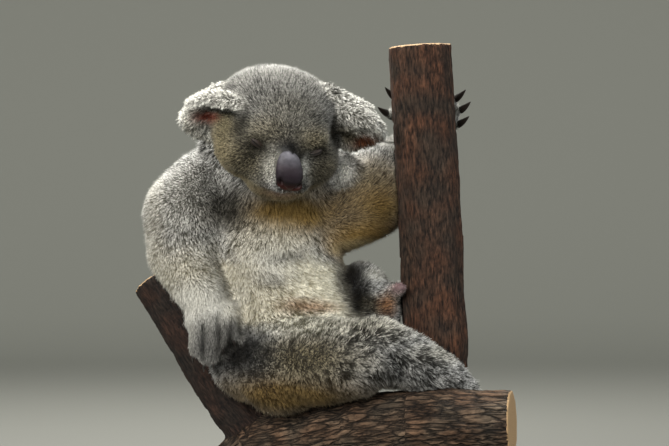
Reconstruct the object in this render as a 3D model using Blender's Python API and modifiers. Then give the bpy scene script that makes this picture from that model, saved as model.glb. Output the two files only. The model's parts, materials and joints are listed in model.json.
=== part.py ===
"""A koala asleep in a tree fork, life size, as a still museum model on a plain display stand.

Metres, +Z up. The koala faces -Y, its right side is at -X.
The origin is the centre of the stand's underside.
Every solid of the body is the outline of the coat: it reaches to the tips of the fur.
"""

import math

import bmesh
import bpy
from mathutils import Matrix, Vector, noise
from mathutils.bvhtree import BVHTree

MM = 0.001
GAP = 0.3 * MM  # clearance between two solids that meet
COLLECTION = "koala_in_tree_fork"


def at(x, y, z):
    """A place or a size, given in millimetres."""
    return Vector((x, y, z)) * MM


# ---------------------------------------------------------------- driving dimensions, in millimetres

HEAD_CENTRE = at(-33, -56, 463)
HEAD_PITCH = math.radians(33)  # nose down
HEAD_ROLL = math.radians(8)  # crown towards the koala's left
HEAD_YAW = math.radians(16)  # face towards the koala's left

SHOULDER_R, ELBOW_R, WRIST_R = at(-117, 12, 386), at(-144, -6, 316), at(-121, -40, 268)
SHOULDER_L, ELBOW_L, WRIST_L = at(30, 8, 360), at(110, 64, 394), at(118, 60, 434)
HIP_R, KNEE_R, ANKLE_R = at(-60, -14, 197), at(74, -104, 207), at(172, -58, 160)
HIP_L, KNEE_L, ANKLE_L = at(34, 12, 205), at(58, -8, 272), at(80, -10, 242)

# Each station of the wood is a place and a radius.
TRUNK = [
    (-4, -12, 88, 24), (36, -8, 80, 31), (76, -4, 78, 37), (124, -1, 104, 38.5),
    (145, 0, 168, 38), (141, 0, 270, 37.5), (135, 0, 400, 37.5), (126, 0, 552, 37.5),
]
BRANCH = [
    (-84, 14, 62, 38), (-50, 4, 86, 43), (0, -20, 98, 43),
    (52, -54, 113, 42), (112, -86, 123, 41), (224, -112, 127, 39.5),
]
LIMB = [(-50, 6, 92, 30), (-92, 14, 136, 27), (-137, 36, 204, 25.5), (-186, 62, 279, 24.5)]

BASE_SIZE = at(420, 260, 18)
ROD_RADIUS = 7 * MM

FUR = (0.30, 0.29, 0.28, 1)
PALE_FUR = (0.62, 0.58, 0.50, 1)
LEATHER = (0.06, 0.035, 0.04, 1)
HORN = (0.02, 0.018, 0.016, 1)
BARK = (0.10, 0.07, 0.05, 1)
LACQUER = (0.03, 0.03, 0.032, 1)
STEEL = (0.55, 0.55, 0.56, 1)


# ---------------------------------------------------------------- materials and objects


def material(name, colour, roughness, metallic=0.0):
    made = bpy.data.materials.get(name) or bpy.data.materials.new(name)
    made.use_nodes = True
    shader = made.node_tree.nodes["Principled BSDF"]
    shader.inputs["Base Color"].default_value = colour
    shader.inputs["Roughness"].default_value = roughness
    shader.inputs["Metallic"].default_value = metallic
    return made


def clear_scene():
    for old in list(bpy.data.objects):
        bpy.data.objects.remove(old)
    parts = bpy.data.collections.new(COLLECTION)
    bpy.context.scene.collection.children.link(parts)
    return parts


def add_object(name, mesh, finish):
    made = bpy.data.objects.new(name, mesh)
    made.data.materials.clear()
    made.data.materials.append(finish)
    bpy.data.collections[COLLECTION].objects.link(made)
    return made


def mesh_from(bm, name):
    mesh = bpy.data.meshes.new(name)
    bm.to_mesh(mesh)
    bm.free()
    return mesh


def bake_modifiers(obj):
    """Replaces the object's mesh by its evaluated one."""
    bpy.context.view_layer.update()
    graph = bpy.context.evaluated_depsgraph_get()
    done = bpy.data.meshes.new_from_object(obj.evaluated_get(graph))
    obj.modifiers.clear()
    obj.data = done


def keep_largest(obj):
    """Removes the crumbs that a Boolean leaves: only the body with the most volume stays."""
    bm = bmesh.new()
    bm.from_mesh(obj.data)
    bmesh.ops.remove_doubles(bm, verts=bm.verts, dist=1e-6)
    left = set(bm.faces)
    bodies = []
    while left:
        body, edge = set(), [left.pop()]
        while edge:
            face = edge.pop()
            body.add(face)
            near = {f for e in face.edges if e.is_manifold for f in e.link_faces} & left
            left -= near
            edge.extend(near)
        bodies.append(body)

    def size(body):
        """Six times the volume, from the tetrahedra between the origin and each face's fan."""
        total = 0
        for face in body:
            first, *others = [v.co for v in face.verts]
            total += sum(first.cross(a).dot(b) for a, b in zip(others, others[1:]))
        return total

    bodies.sort(key=size, reverse=True)
    crumbs = [f for body in bodies[1:] for f in body]
    bmesh.ops.delete(bm, geom=crumbs, context="FACES")
    bmesh.ops.delete(bm, geom=[v for v in bm.verts if not v.link_faces], context="VERTS")
    bm.to_mesh(obj.data)
    bm.free()


# ---------------------------------------------------------------- forms of the body


def ball(centre, radii, turn=None):
    """An ellipsoid: centre, half sizes in millimetres, and the frame that it is turned to."""
    turned = turn.to_4x4() if turn else Matrix.Identity(4)
    size = Matrix.Diagonal(Vector((*[r * MM for r in radii], 1)))
    return Matrix.Translation(centre) @ turned @ size


def chain(stations, spacing=0.3):
    """Round forms close together along a limb. A station is a place and a radius in millimetres."""
    forms = []
    for (a, ra), (b, rb) in zip(stations, stations[1:]):
        steps = max(2, math.ceil((b - a).length / (spacing * min(ra, rb) * MM)))
        for i in range(steps + 1):
            share = i / steps
            radius = ra + (rb - ra) * share
            forms.append(ball(a.lerp(b, share), (radius,) * 3))
    return forms


def loft(stations, steps=5):
    """Round forms along a smooth line. A station is a place and three half sizes, in millimetres."""
    rows = [Vector(sum(station, ())) for station in stations]
    forms = []
    for row in smooth_route(rows, steps):
        forms.append(ball(at(*row[:3]), row[3:]))
    return forms


def press(bm, centre, reach, push):
    """Moves the points near a place by a push that fades out at its reach, as a thumb does in clay."""
    for v in bm.verts:
        far = (v.co - centre).length / reach
        if far < 1:
            v.co += push * (1 - far * far) ** 2


def blob(name, forms, finish, voxel, smooth, faces, presses=()):
    """One closed skin over all the forms, smoothed, pressed and thinned to a number of triangles."""
    bm = bmesh.new()
    for form in forms:
        bmesh.ops.create_icosphere(bm, subdivisions=3, radius=1, matrix=form)
    obj = add_object(name, mesh_from(bm, name), finish)
    remesh = obj.modifiers.new("one_skin", "REMESH")
    remesh.mode = "VOXEL"
    remesh.voxel_size = voxel * MM
    soften = obj.modifiers.new("soften", "SMOOTH")
    soften.factor = 0.5
    soften.iterations = smooth
    bake_modifiers(obj)
    if presses:
        bm = bmesh.new()
        bm.from_mesh(obj.data)
        for centre, reach, push in presses:
            press(bm, centre, reach, push)
        bm.to_mesh(obj.data)
        bm.free()
    thin = obj.modifiers.new("thin", "DECIMATE")
    thin.ratio = min(1.0, faces / (2 * len(obj.data.polygons)))
    thin.use_collapse_triangulate = True
    bake_modifiers(obj)
    keep_largest(obj)
    return obj


def grown(obj):
    """A copy that is larger by the gap, as a cutter."""
    copy = obj.copy()
    copy.data = obj.data.copy()
    copy.name = obj.name + "_cutter"
    bpy.context.scene.collection.objects.link(copy)
    swell = copy.modifiers.new("swell", "DISPLACE")
    swell.strength = GAP
    swell.mid_level = 0
    bake_modifiers(copy)
    return copy


def carve(obj, *neighbours):
    """Takes from the object what its neighbours fill, with the gap between them."""
    for neighbour in neighbours:
        cutter = grown(neighbour)
        cut = obj.modifiers.new("meet", "BOOLEAN")
        cut.operation = "DIFFERENCE"
        cut.object = cutter
        bake_modifiers(obj)
        bpy.data.objects.remove(cutter)
    keep_largest(obj)
    return obj


def side_of(obj, name, point, normal):
    """The part of the object on the side that the normal points away from, closed with a flat cap."""
    bm = bmesh.new()
    bm.from_mesh(obj.data)
    everything = list(bm.verts) + list(bm.edges) + list(bm.faces)
    cut = bmesh.ops.bisect_plane(
        bm, geom=everything, dist=1e-7, plane_co=point, plane_no=normal, clear_outer=True
    )
    rim = [e for e in cut["geom_cut"] if isinstance(e, bmesh.types.BMEdge)]
    bmesh.ops.holes_fill(bm, edges=rim, sides=0)
    bmesh.ops.triangulate(bm, faces=[f for f in bm.faces if len(f.verts) > 4])
    bmesh.ops.recalc_face_normals(bm, faces=bm.faces)
    made = add_object(name, mesh_from(bm, name), obj.data.materials[0])
    keep_largest(made)
    return made


def divide(obj, names, cuts):
    """Parts the object with thin cuts. Each cut is a point and the direction towards the next part."""
    rest = obj
    rest.name = "whole"
    for name, (point, normal) in zip(names, cuts):
        normal = normal.normalized()
        side_of(rest, name, point - normal * GAP / 2, normal)
        beyond = side_of(rest, "beyond_" + name, point + normal * GAP / 2, -normal)
        bpy.data.objects.remove(rest)
        rest = beyond
    rest.name = names[-1]


# ---------------------------------------------------------------- the perch and its stand


def smooth_route(points, steps):
    """Points along a Catmull-Rom curve through the given ones."""
    ends = [points[0] * 2 - points[1], *points, points[-1] * 2 - points[-2]]
    route = []
    for a, b, c, d in zip(ends, ends[1:], ends[2:], ends[3:]):
        for i in range(steps):
            t = i / steps
            bow = 2 * a - 5 * b + 4 * c - d
            twist = 3 * b - a - 3 * c + d
            route.append((2 * b + (c - a) * t + bow * t**2 + twist * t**3) / 2)
    return [*route, points[-1]]


def wood(name, stations, steps, rough):
    """A cut length of wood: a curve with a round bevel and flat ends, made uneven as bark is."""
    route = [row * MM for row in smooth_route([Vector(station) for station in stations], steps)]
    curve = bpy.data.curves.new(name, "CURVE")
    curve.dimensions = "3D"
    curve.bevel_depth = 1
    curve.bevel_resolution = 3
    curve.use_fill_caps = True
    spline = curve.splines.new("POLY")
    spline.points.add(len(route) - 1)
    for point, (x, y, z, radius) in zip(spline.points, route):
        point.co = (x, y, z, 1)
        point.radius = radius
    tube = bpy.data.objects.new(name + "_curve", curve)
    bpy.context.scene.collection.objects.link(tube)
    bpy.context.view_layer.update()
    mesh = bpy.data.meshes.new_from_object(tube.evaluated_get(bpy.context.evaluated_depsgraph_get()))
    bpy.data.objects.remove(tube)
    bm = bmesh.new()
    bm.from_mesh(mesh)
    bmesh.ops.remove_doubles(bm, verts=bm.verts, dist=1e-5)
    bmesh.ops.recalc_face_normals(bm, faces=bm.faces)
    ends = (route[0], route[-1])
    for v in bm.verts:
        if min((v.co - end.xyz).length / end.w for end in ends) > 1.2:
            v.co += v.normal * rough * noise.noise(v.co / (26 * MM))
    bmesh.ops.triangulate(bm, faces=bm.faces)
    bm.to_mesh(mesh)
    bm.free()
    return add_object(name, mesh, material("bark", BARK, 0.95))


def make_perch():
    """The fork is one piece of wood: an upright trunk, a branch to the front and a limb to the back."""
    perch = wood("perch", BRANCH, 3, 4 * MM)
    for name, stations in (("trunk", TRUNK), ("limb", LIMB)):
        stem = wood(name, stations, 2, 3 * MM)
        joined = perch.modifiers.new("fork", "BOOLEAN")
        joined.operation = "UNION"
        joined.object = stem
        bake_modifiers(perch)
        bpy.data.objects.remove(stem)
    keep_largest(perch)
    return perch


def make_stand(perch):
    steel = material("steel", STEEL, 0.35, 1.0)
    bm = bmesh.new()
    bmesh.ops.create_cube(bm, size=1, matrix=Matrix.Diagonal((*BASE_SIZE, 1)))
    bmesh.ops.translate(bm, verts=bm.verts, vec=(0, 0, BASE_SIZE.z / 2))
    upright = [e for e in bm.edges if abs(e.verts[0].co.z - e.verts[1].co.z) > BASE_SIZE.z / 2]
    bmesh.ops.bevel(bm, geom=upright, offset=36 * MM, segments=5, profile=0.5, affect="EDGES")
    rim = [e for e in bm.edges if min(v.co.z for v in e.verts) > BASE_SIZE.z * 0.9]
    bmesh.ops.bevel(bm, geom=rim, offset=3 * MM, segments=1, profile=0.5, affect="EDGES")
    add_object("stand_base", mesh_from(bm, "stand_base"), material("lacquer", LACQUER, 0.4))
    low = BASE_SIZE.z + GAP
    for name, above in (("stand_rod_fork", at(*BRANCH[1][:3])), ("stand_rod_trunk", at(*TRUNK[2][:3]))):
        bm = bmesh.new()
        bmesh.ops.create_cone(
            bm, cap_ends=True, segments=16, radius1=ROD_RADIUS, radius2=ROD_RADIUS, depth=above.z - low,
            matrix=Matrix.Translation((above.x, above.y, (above.z + low) / 2)),
        )
        carve(add_object(name, mesh_from(bm, name), steel), perch)


# ---------------------------------------------------------------- head

ROLL = Matrix.Rotation(HEAD_ROLL, 3, "Y")
YAW = Matrix.Rotation(HEAD_YAW, 3, "Z")
PITCH = Matrix.Rotation(HEAD_PITCH, 3, "X")
HEAD_TURN = ROLL @ YAW @ PITCH


def on_head(x, y, z):
    """A place given in the head's own frame: x to its left, -y forwards, z to the crown."""
    return HEAD_CENTRE + HEAD_TURN @ at(x, y, z)


def head_ball(x, y, z, radii):
    return ball(on_head(x, y, z), radii, HEAD_TURN)


def make_head():
    forms = [
        head_ball(0, 8, 5, (72, 68, 47)),  # braincase
        head_ball(0, -28, 3, (54, 38, 37)),  # brow
        head_ball(0, -60, -8, (19, 26, 22)),  # bridge of the nose
        head_ball(0, -58, -28, (30, 32, 28)),  # muzzle
        head_ball(0, -52, -50, (35, 26, 17)),  # chin
        head_ball(0, -20, -34, (52, 44, 36)),  # throat
    ]
    for side in (-1, 1):
        forms.append(head_ball(side * 36, -22, -22, (36, 42, 39)))  # cheek
        forms.append(head_ball(side * 47, 4, -16, (27, 40, 36)))  # cheek ruff
        forms.append(head_ball(side * 26, -42, 11, (21, 20, 16)))  # brow ridge
        forms.append(head_ball(side * 16, -64, -36, (19, 20, 18)))  # upper lip
    sockets = [(on_head(side * 33, -64, -2), 19 * MM, HEAD_TURN @ at(0, 5, 0)) for side in (-1, 1)]
    temples = [(on_head(side * 62, -24, 4), 34 * MM, HEAD_TURN @ at(-side * 8, 16, 0)) for side in (-1, 1)]
    return blob("head", forms, material("fur", FUR, 0.9), 3.5, 8, 640, sockets + temples)


# An ear is four rolls of fur: its back, which goes on from the crown, the rims before and
# behind its opening, and the floor of the opening. Each roll is a row of (x, y, z, radius).
EARS = {
    "ear_right": [
        [(-66, -58, 492, 20), (-98, -50, 486, 21), (-120, -46, 478, 18), (-131, -44, 469, 13)],
        [(-74, -95, 479, 11), (-92, -91, 483, 12), (-112, -78, 486, 11), (-129, -60, 480, 10)],
        [(-133, -48, 466, 11), (-122, -32, 454, 10), (-106, -24, 451, 11)],
        [(-90, -62, 484, 16), (-113, -50, 478, 13), (-122, -36, 467, 12), (-104, -24, 463, 14)],
    ],
    "ear_left": [
        [(18, -50, 487, 20), (38, -46, 475, 21), (56, -44, 467, 20), (69, -42, 454, 14)],
        [(38, -62, 472, 12), (54, -66, 466, 12), (67, -62, 462, 11), (75, -54, 454, 9)],
        [(74, -42, 450, 9), (64, -30, 443, 9), (44, -24, 440, 11)],
        [(30, -54, 466, 14), (56, -50, 461, 13), (67, -34, 451, 10), (46, -28, 451, 13)],
    ],
}


def make_ears(head):
    for name, rolls in EARS.items():
        forms = []
        for roll in rolls:
            forms += chain([(at(x, y, z), radius) for x, y, z, radius in roll])
        carve(blob(name, forms, material("fur", FUR, 0.9), 2.6, 5, 220), head)


def on_face(head, x, z, depth):
    """The place on the face in front of a point of the head's own frame, sunk by a depth in millimetres."""
    bm = bmesh.new()
    bm.from_mesh(head.data)
    forwards = HEAD_TURN @ Vector((0, -1, 0))
    hit = BVHTree.FromBMesh(bm).ray_cast(on_head(x, -200, z), -forwards)[0]
    bm.free()
    return hit - forwards * depth * MM


def make_nose(head):
    """Bare leather from between the eyes to the lip, widest at the nostrils."""
    forms = []
    for i in range(9):
        share = i / 8
        radii = (8 + 7 * share, 8, 8)
        forms.append(ball(on_face(head, 1, 3 - 34 * share, 5 - 2 * share), radii, HEAD_TURN))
    forms += [ball(on_face(head, 1 + side * 9, -30, 3), (9, 8, 9), HEAD_TURN) for side in (-1, 1)]
    return carve(blob("nose", forms, material("nose_leather", LEATHER, 0.45), 1.8, 3, 130), head)


def make_eyelids(head):
    for side, name in ((-1, "eyelid_right"), (1, "eyelid_left")):
        forms = [ball(on_face(head, side * 31, 0, 7), (9, 9, 6), HEAD_TURN)]
        carve(blob(name, forms, material("eyelid", LEATHER, 0.5), 1.5, 2, 60), head)


# ---------------------------------------------------------------- trunk of the body


def make_torso(*neighbours):
    spine = [
        ((-14, 2, 202), (86, 78, 69)),  # rump
        ((-18, 6, 244), (80, 86, 54)),  # lap and loins
        ((-34, 10, 300), (74, 82, 52)),  # belly
        ((-38, 14, 346), (80, 78, 52)),  # rib cage
        ((-40, 14, 386), (94, 68, 48)),  # hunched shoulders
        ((-38, 4, 424), (66, 60, 44)),
        ((-36, -12, 452), (56, 52, 38)),  # nape
    ]
    forms = [
        *loft(spine),
        ball(at(-33, -34, 388), (46, 44, 42)),  # throat
        ball(at(12, -36, 236), (50, 50, 32)),  # lap
        ball(at(-98, -2, 422), (30, 34, 28)),  # scruff beside the right ear
        ball(at(-112, -6, 435), (18, 22, 19)),  # and up to its rim
        ball(at(38, -4, 406), (28, 32, 26)),  # and below the left one
    ]
    torso = blob("torso", forms, material("pale_fur", PALE_FUR, 0.9), 4.5, 14, 400)
    return carve(torso, *neighbours)


# ---------------------------------------------------------------- limbs


def digit(stations):
    return chain(stations, 0.5)


def claw(name, root, aim, curl, size, *holders):
    """A hooked claw: a tapering curve from inside the toe, bent towards the curl."""
    curve = bpy.data.curves.new(name, "CURVE")
    curve.dimensions = "3D"
    curve.bevel_depth = size * 0.27
    curve.bevel_resolution = 0
    curve.use_fill_caps = True
    spline = curve.splines.new("POLY")
    widths = (1.0, 0.86, 0.55, 0.06)
    spline.points.add(len(widths) - 1)
    for i, (point, width) in enumerate(zip(spline.points, widths)):
        share = i / (len(widths) - 1)
        place = root + aim * size * (share * 1.25 - 0.25) + curl * size * 0.34 * share * share
        point.co = (*place, 1)
        point.radius = width
    tube = bpy.data.objects.new(name + "_curve", curve)
    bpy.context.scene.collection.objects.link(tube)
    bpy.context.view_layer.update()
    mesh = bpy.data.meshes.new_from_object(tube.evaluated_get(bpy.context.evaluated_depsgraph_get()))
    bpy.data.objects.remove(tube)
    bm = bmesh.new()
    bm.from_mesh(mesh)
    bmesh.ops.remove_doubles(bm, verts=bm.verts, dist=1e-6)
    bmesh.ops.recalc_face_normals(bm, faces=bm.faces)
    made = add_object(name, mesh_from(bm, name), material("horn", HORN, 0.35))
    return carve(made, *holders)


def make_right_arm(*neighbours):
    """Hangs at the side, the back of the hand to the front."""
    arm = chain([(SHOULDER_R, 50), (at(-138, 4, 358), 55), (ELBOW_R, 43)])
    arm += chain([(ELBOW_R, 43), (at(-136, -24, 292), 33), (WRIST_R, 28)])
    palm = [ball(at(-116, -50, 244), (26, 20, 28)), ball(at(-94, -48, 248), (15, 14, 16))]
    digits = [
        (at(-91, -60, 239), at(-86, -70, 222)),
        (at(-98, -58, 232), at(-97, -66, 214)),
        (at(-106, -56, 226), at(-107, -62, 196)),
        (at(-117, -56, 226), at(-118, -62, 195)),
        (at(-128, -54, 230), at(-130, -58, 205)),
    ]
    fingers = [f for knuckle, tip in digits for f in digit([(knuckle, 10), (tip, 8)])]
    whole = blob("right_arm", arm + palm + fingers, material("fur", FUR, 0.9), 2.8, 3, 660)
    carve(whole, *neighbours)
    for i, (knuckle, tip) in enumerate(digits):
        aim = (tip - knuckle).normalized()
        root = tip + aim * 4 * MM
        claw(f"claw_hand_right_{i + 1}", root, aim, Vector((0, 1, 0)), 11 * MM, whole, *neighbours)
    names = ["arm_right_upper", "arm_right_forearm", "hand_right"]
    divide(whole, names, [(ELBOW_R, WRIST_R - SHOULDER_R), (WRIST_R, at(-1, -12, -40))])


def make_left_arm(*neighbours):
    """Raised behind the trunk. Two digits come round its near side and three round its far side."""
    upper = chain([(SHOULDER_L, 48), (at(64, 28, 378), 52), (at(85, 40, 399), 46), (ELBOW_L, 36)])
    fore = chain([(ELBOW_L, 35), (at(100, 56, 412), 36), (WRIST_L, 25)])
    palm = [ball(at(128, 55, 462), (25, 17, 22)), ball(at(132, 54, 478), (24, 16, 17))]
    digits = [
        (at(109, 48, 488), at(99, 22, 494)),
        (at(106, 48, 473), at(93, 24, 474)),
        (at(152, 46, 488), at(165, 30, 491)),
        (at(154, 46, 476), at(170, 28, 478)),
        (at(152, 48, 462), at(168, 30, 462)),
    ]
    fingers = [f for knuckle, tip in digits for f in digit([(knuckle, 10), (tip, 8)])]
    whole = blob("left_arm", upper + fore + palm + fingers, material("fur", FUR, 0.9), 2.8, 3, 585)
    carve(whole, *neighbours)
    for i, (knuckle, tip) in enumerate(digits):
        aim = (tip - knuckle).normalized()
        away = Vector((0.5, 0, 0.4)) if tip.x > knuckle.x else Vector((-0.5, 0, 0.2))
        aim = (aim + away).normalized()
        root = tip + aim * 5 * MM
        claw(f"claw_hand_left_{i + 1}", root, aim, Vector((0, -1, 0)), 16 * MM, whole, *neighbours)
    names = ["arm_left_upper", "arm_left_forearm", "hand_left"]
    divide(whole, names, [(ELBOW_L, Vector((1, 0.4, 1.1))), (WRIST_L, Vector((0.1, 0, 1)))])


def make_right_leg(*neighbours):
    """Lies across the front. The shin passes over the branch and the foot grips its far side."""
    thigh = chain([(at(-38, -40, 196), 53), (at(10, -76, 194), 51), (at(48, -98, 198), 46)])
    thigh += [ball(HIP_R, (58, 56, 57)), ball(at(-28, -54, 180), (60, 42, 47))]
    shin = chain([(KNEE_R, 40), (at(108, -96, 196), 34), (at(146, -78, 178), 27), (ANKLE_R, 20)])
    sole = chain([(ANKLE_R, 20), (at(178, -52, 134), 18), (at(177, -54, 108), 18)])
    digits = [
        (at(164, -58, 112), at(160, -72, 84)),
        (at(170, -56, 104), at(168, -73, 81)),
        (at(178, -56, 100), at(178, -73, 80)),
        (at(186, -58, 102), at(190, -73, 84)),
    ]
    toes = [f for root, tip in digits for f in digit([(root, 10), (tip, 8)])]
    toes += digit([(at(150, -60, 138), 10), (at(136, -60, 124), 8)])
    whole = blob("right_leg", thigh + shin + sole + toes, material("fur", FUR, 0.9), 3.0, 4, 718)
    carve(whole, *neighbours)
    for i, (root, tip) in enumerate(digits):
        aim = (tip - root).normalized()
        start = tip + aim * 5 * MM
        claw(f"claw_foot_right_{i + 2}", start, aim, Vector((0, -1, 0)), 14 * MM, whole, *neighbours)
    names = ["leg_right_thigh", "leg_right_shin", "foot_right"]
    divide(whole, names, [(KNEE_R, Vector((1.6, -0.2, -0.3))), (ANKLE_R, Vector((0.3, 0.3, -0.9)))])


def make_left_leg(*neighbours):
    """Folded behind the lap, the sole against the trunk, the clawless toe in front."""
    sole = chain([(ANKLE_L, 22), (at(88, 4, 254), 20), (at(92, 22, 264), 17)])
    digits = [
        (at(94, 26, 249), at(114, 50, 250)),
        (at(95, 28, 256), at(118, 51, 258)),
        (at(95, 28, 263), at(120, 51, 266)),
        (at(93, 24, 269), at(114, 48, 274)),
    ]
    toes = [f for root, tip in digits for f in digit([(root, 11), (tip, 9)])]
    toes += digit([(at(90, -12, 264), 11), (at(103, -33, 275), 8)])
    foot = carve(blob("foot_left", sole + toes, material("fur", FUR, 0.9), 2.4, 3, 318), *neighbours)
    for i, (root, tip) in enumerate(digits):
        aim = (tip - root).normalized()
        start = tip + aim * 5 * MM
        claw(f"claw_foot_left_{i + 2}", start, aim, Vector((0.4, -1, 0)), 14 * MM, foot, *neighbours)
    thigh = chain([(HIP_L, 50), (at(52, 0, 248), 40), (KNEE_L, 34)])
    shin = chain([(KNEE_L, 34), (at(72, -12, 254), 28), (ANKLE_L, 26)])
    whole = carve(blob("left_leg", thigh + shin, material("fur", FUR, 0.9), 3.2, 4, 305), foot, *neighbours)
    divide(whole, ["leg_left_thigh", "leg_left_shin"], [(at(64, -14, 262), Vector((1, 0, 0.2)))])


# ---------------------------------------------------------------- the whole


def build():
    clear_scene()
    perch = make_perch()
    make_stand(perch)
    head = make_head()
    make_nose(head)
    make_eyelids(head)
    make_ears(head)
    torso = make_torso(head, *pieces("ear"), perch)
    make_right_leg(torso, perch)
    make_left_leg(torso, *pieces("leg_right", "foot_right"), perch)
    make_right_arm(torso, head, *pieces("ear_right", "leg_right"), perch)
    make_left_arm(torso, head, *pieces("leg_left", "foot_left"), perch)
    divide(
        torso,
        ["rump", "belly", "chest", "neck"],
        [
            (at(-20, 0, 228), Vector((0, -0.35, 1))),
            (at(-30, 0, 312), Vector((0, -0.1, 1))),
            (at(-38, 0, 412), Vector((0, -0.2, 1))),
        ],
    )
    divide(head, ["head", "jaw"], [(on_head(0, 0, -46), HEAD_TURN @ Vector((0, -0.1, -1)))])
    divide(perch, ["perch_base", "perch_limb"], [(at(-108, 22, 160), Vector((-1, 0, 0.35)))])
    base = bpy.data.objects["perch_base"]
    divide(base, ["perch_fork", "perch_trunk"], [(at(145, 0, 180), Vector((0, 0, 1)))])


def pieces(*starts):
    names = sorted(o.name for o in bpy.data.collections[COLLECTION].objects)
    return [bpy.data.objects[n] for n in names if n.startswith(starts)]


build()
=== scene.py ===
# %% [markdown]
# # A koala asleep in a tree fork
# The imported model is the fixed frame: 47 solids that say where every part of
# the animal, its perch and its stand lies. This lesson dresses them. One
# seamless skin lies inside the solids by the depth of the coat, thousands of
# thin tufts of hair bring it back out to them, and the hard parts (nose, lids,
# claws, bark and stand) are modelled again with more detail.

# %% Load the frame and keep its size
import json
import math

import bmesh
import bpy
import numpy as np
from mathutils import Matrix, Vector, noise
from mathutils.bvhtree import BVHTree
from mathutils.kdtree import KDTree

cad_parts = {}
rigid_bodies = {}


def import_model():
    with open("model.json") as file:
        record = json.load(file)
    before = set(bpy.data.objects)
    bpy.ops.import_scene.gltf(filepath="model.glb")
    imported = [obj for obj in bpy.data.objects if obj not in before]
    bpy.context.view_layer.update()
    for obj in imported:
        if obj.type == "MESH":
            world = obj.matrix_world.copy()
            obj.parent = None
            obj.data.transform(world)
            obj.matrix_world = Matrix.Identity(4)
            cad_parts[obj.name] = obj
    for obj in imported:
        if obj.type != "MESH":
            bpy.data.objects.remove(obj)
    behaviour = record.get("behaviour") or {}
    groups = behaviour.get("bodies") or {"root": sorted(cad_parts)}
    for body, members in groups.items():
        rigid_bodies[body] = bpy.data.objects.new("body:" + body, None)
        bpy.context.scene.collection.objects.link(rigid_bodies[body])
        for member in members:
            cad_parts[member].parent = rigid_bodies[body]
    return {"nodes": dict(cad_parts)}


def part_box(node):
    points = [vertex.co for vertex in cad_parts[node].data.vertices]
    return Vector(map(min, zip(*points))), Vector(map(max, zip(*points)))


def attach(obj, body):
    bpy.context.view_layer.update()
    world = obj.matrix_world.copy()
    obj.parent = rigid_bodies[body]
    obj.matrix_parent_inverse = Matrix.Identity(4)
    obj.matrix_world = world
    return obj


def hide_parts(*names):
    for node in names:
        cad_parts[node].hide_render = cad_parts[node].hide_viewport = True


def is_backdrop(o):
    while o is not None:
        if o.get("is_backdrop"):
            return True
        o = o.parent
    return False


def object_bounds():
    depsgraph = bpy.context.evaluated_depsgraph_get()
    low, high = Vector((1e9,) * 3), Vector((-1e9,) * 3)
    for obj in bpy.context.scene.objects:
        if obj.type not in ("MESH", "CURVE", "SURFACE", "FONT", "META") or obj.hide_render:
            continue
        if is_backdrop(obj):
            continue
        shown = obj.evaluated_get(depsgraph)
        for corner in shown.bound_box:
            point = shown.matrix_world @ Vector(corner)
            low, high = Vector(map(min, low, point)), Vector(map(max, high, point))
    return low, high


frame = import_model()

MM = 0.001
NODES = frame["nodes"]
cad_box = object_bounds()
chance = np.random.default_rng(31)
noise.seed_set(31)
print("solids in the frame:", len(NODES))

# %% [markdown]
# ## Camera
# A long lens from two and a half metres keeps the animal's proportions flat
# and calm, as a wildlife portrait does. The eye is level with the chest, so
# the camera looks straight ahead and stays well above the floor.

# %% Set up the camera
bpy.ops.object.camera_add(location=(0.0282, -2.5645, 0.3485), rotation=(math.pi / 2, 0, 0))
camera = bpy.context.object
camera.name = "portrait_camera"
camera.data.lens = 120
camera.data.sensor_width = 36
bpy.context.scene.camera = camera
print("camera height above the floor:", round(camera.location.z, 3))

# %% [markdown]
# ## Small helpers
# These few functions are used all through the lesson: one picks what the
# operators act on, one adds and applies a modifier, one turns a colour from a
# paint chart into the linear values that the renderer wants, and one adds a
# node to a material with its settings and links.


# %% Helpers for operators and modifiers
def pick(*objects):
    """Selects only these objects and makes the last one active."""
    bpy.ops.object.select_all(action="DESELECT")
    for thing in objects:
        thing.select_set(True)
    bpy.context.view_layer.objects.active = objects[-1]
    return objects[-1]


def modify(piece, kind, **settings):
    """Adds a modifier to the piece and applies it at once."""
    pick(piece)
    modifier = piece.modifiers.new(kind.lower(), kind)
    for key, value in settings.items():
        setattr(modifier, key, value)
    bpy.ops.object.modifier_apply(modifier=modifier.name)


def triangles(piece):
    """Counts the triangles that a piece is drawn with."""
    piece.data.calc_loop_triangles()
    return len(piece.data.loop_triangles)


def ready(piece, material=None, smooth=True):
    """Gives a finished piece its material and shading and lets it ride."""
    if material is not None:
        piece.data.materials.clear()
        piece.data.materials.append(material)
    if smooth:
        piece.data.shade_smooth()
    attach(piece, "root")
    print(f"{piece.name}: {triangles(piece)} triangles")


# %% Helpers for colours and materials
def linear(code):
    """Turns an sRGB hex code into linear red, green, blue and a full alpha."""
    parts = [int(code[i : i + 2], 16) / 255 for i in (1, 3, 5)]
    bent = [c / 12.92 if c <= 0.04045 else ((c + 0.055) / 1.055) ** 2.4 for c in parts]
    return (*bent, 1.0)


def paint(code):
    """The same red, green and blue as a row of numbers."""
    return np.array(linear(code)[:3])


def new_material(name, **sockets):
    """Makes a material and sets the given sockets on its shader."""
    material = bpy.data.materials.new(name)
    material.use_nodes = True
    shader = material.node_tree.nodes["Principled BSDF"]
    for key, value in sockets.items():
        shader.inputs[key.replace("_", " ")].default_value = value
    return material, shader


def add_node(material, kind, settings=None, links=None):
    """Adds a node; a setting is a property or a socket, a link is socket: output."""
    made = material.node_tree.nodes.new(kind)
    for key, value in (settings or {}).items():
        if isinstance(key, str) and hasattr(made, key):
            setattr(made, key, value)
        else:
            made.inputs[key].default_value = value
    for key, output in (links or {}).items():
        material.node_tree.links.new(made.inputs[key], output)
    return made


def wire(material, output, socket):
    """Links an output to a socket that is already there."""
    material.node_tree.links.new(socket, output)


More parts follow.
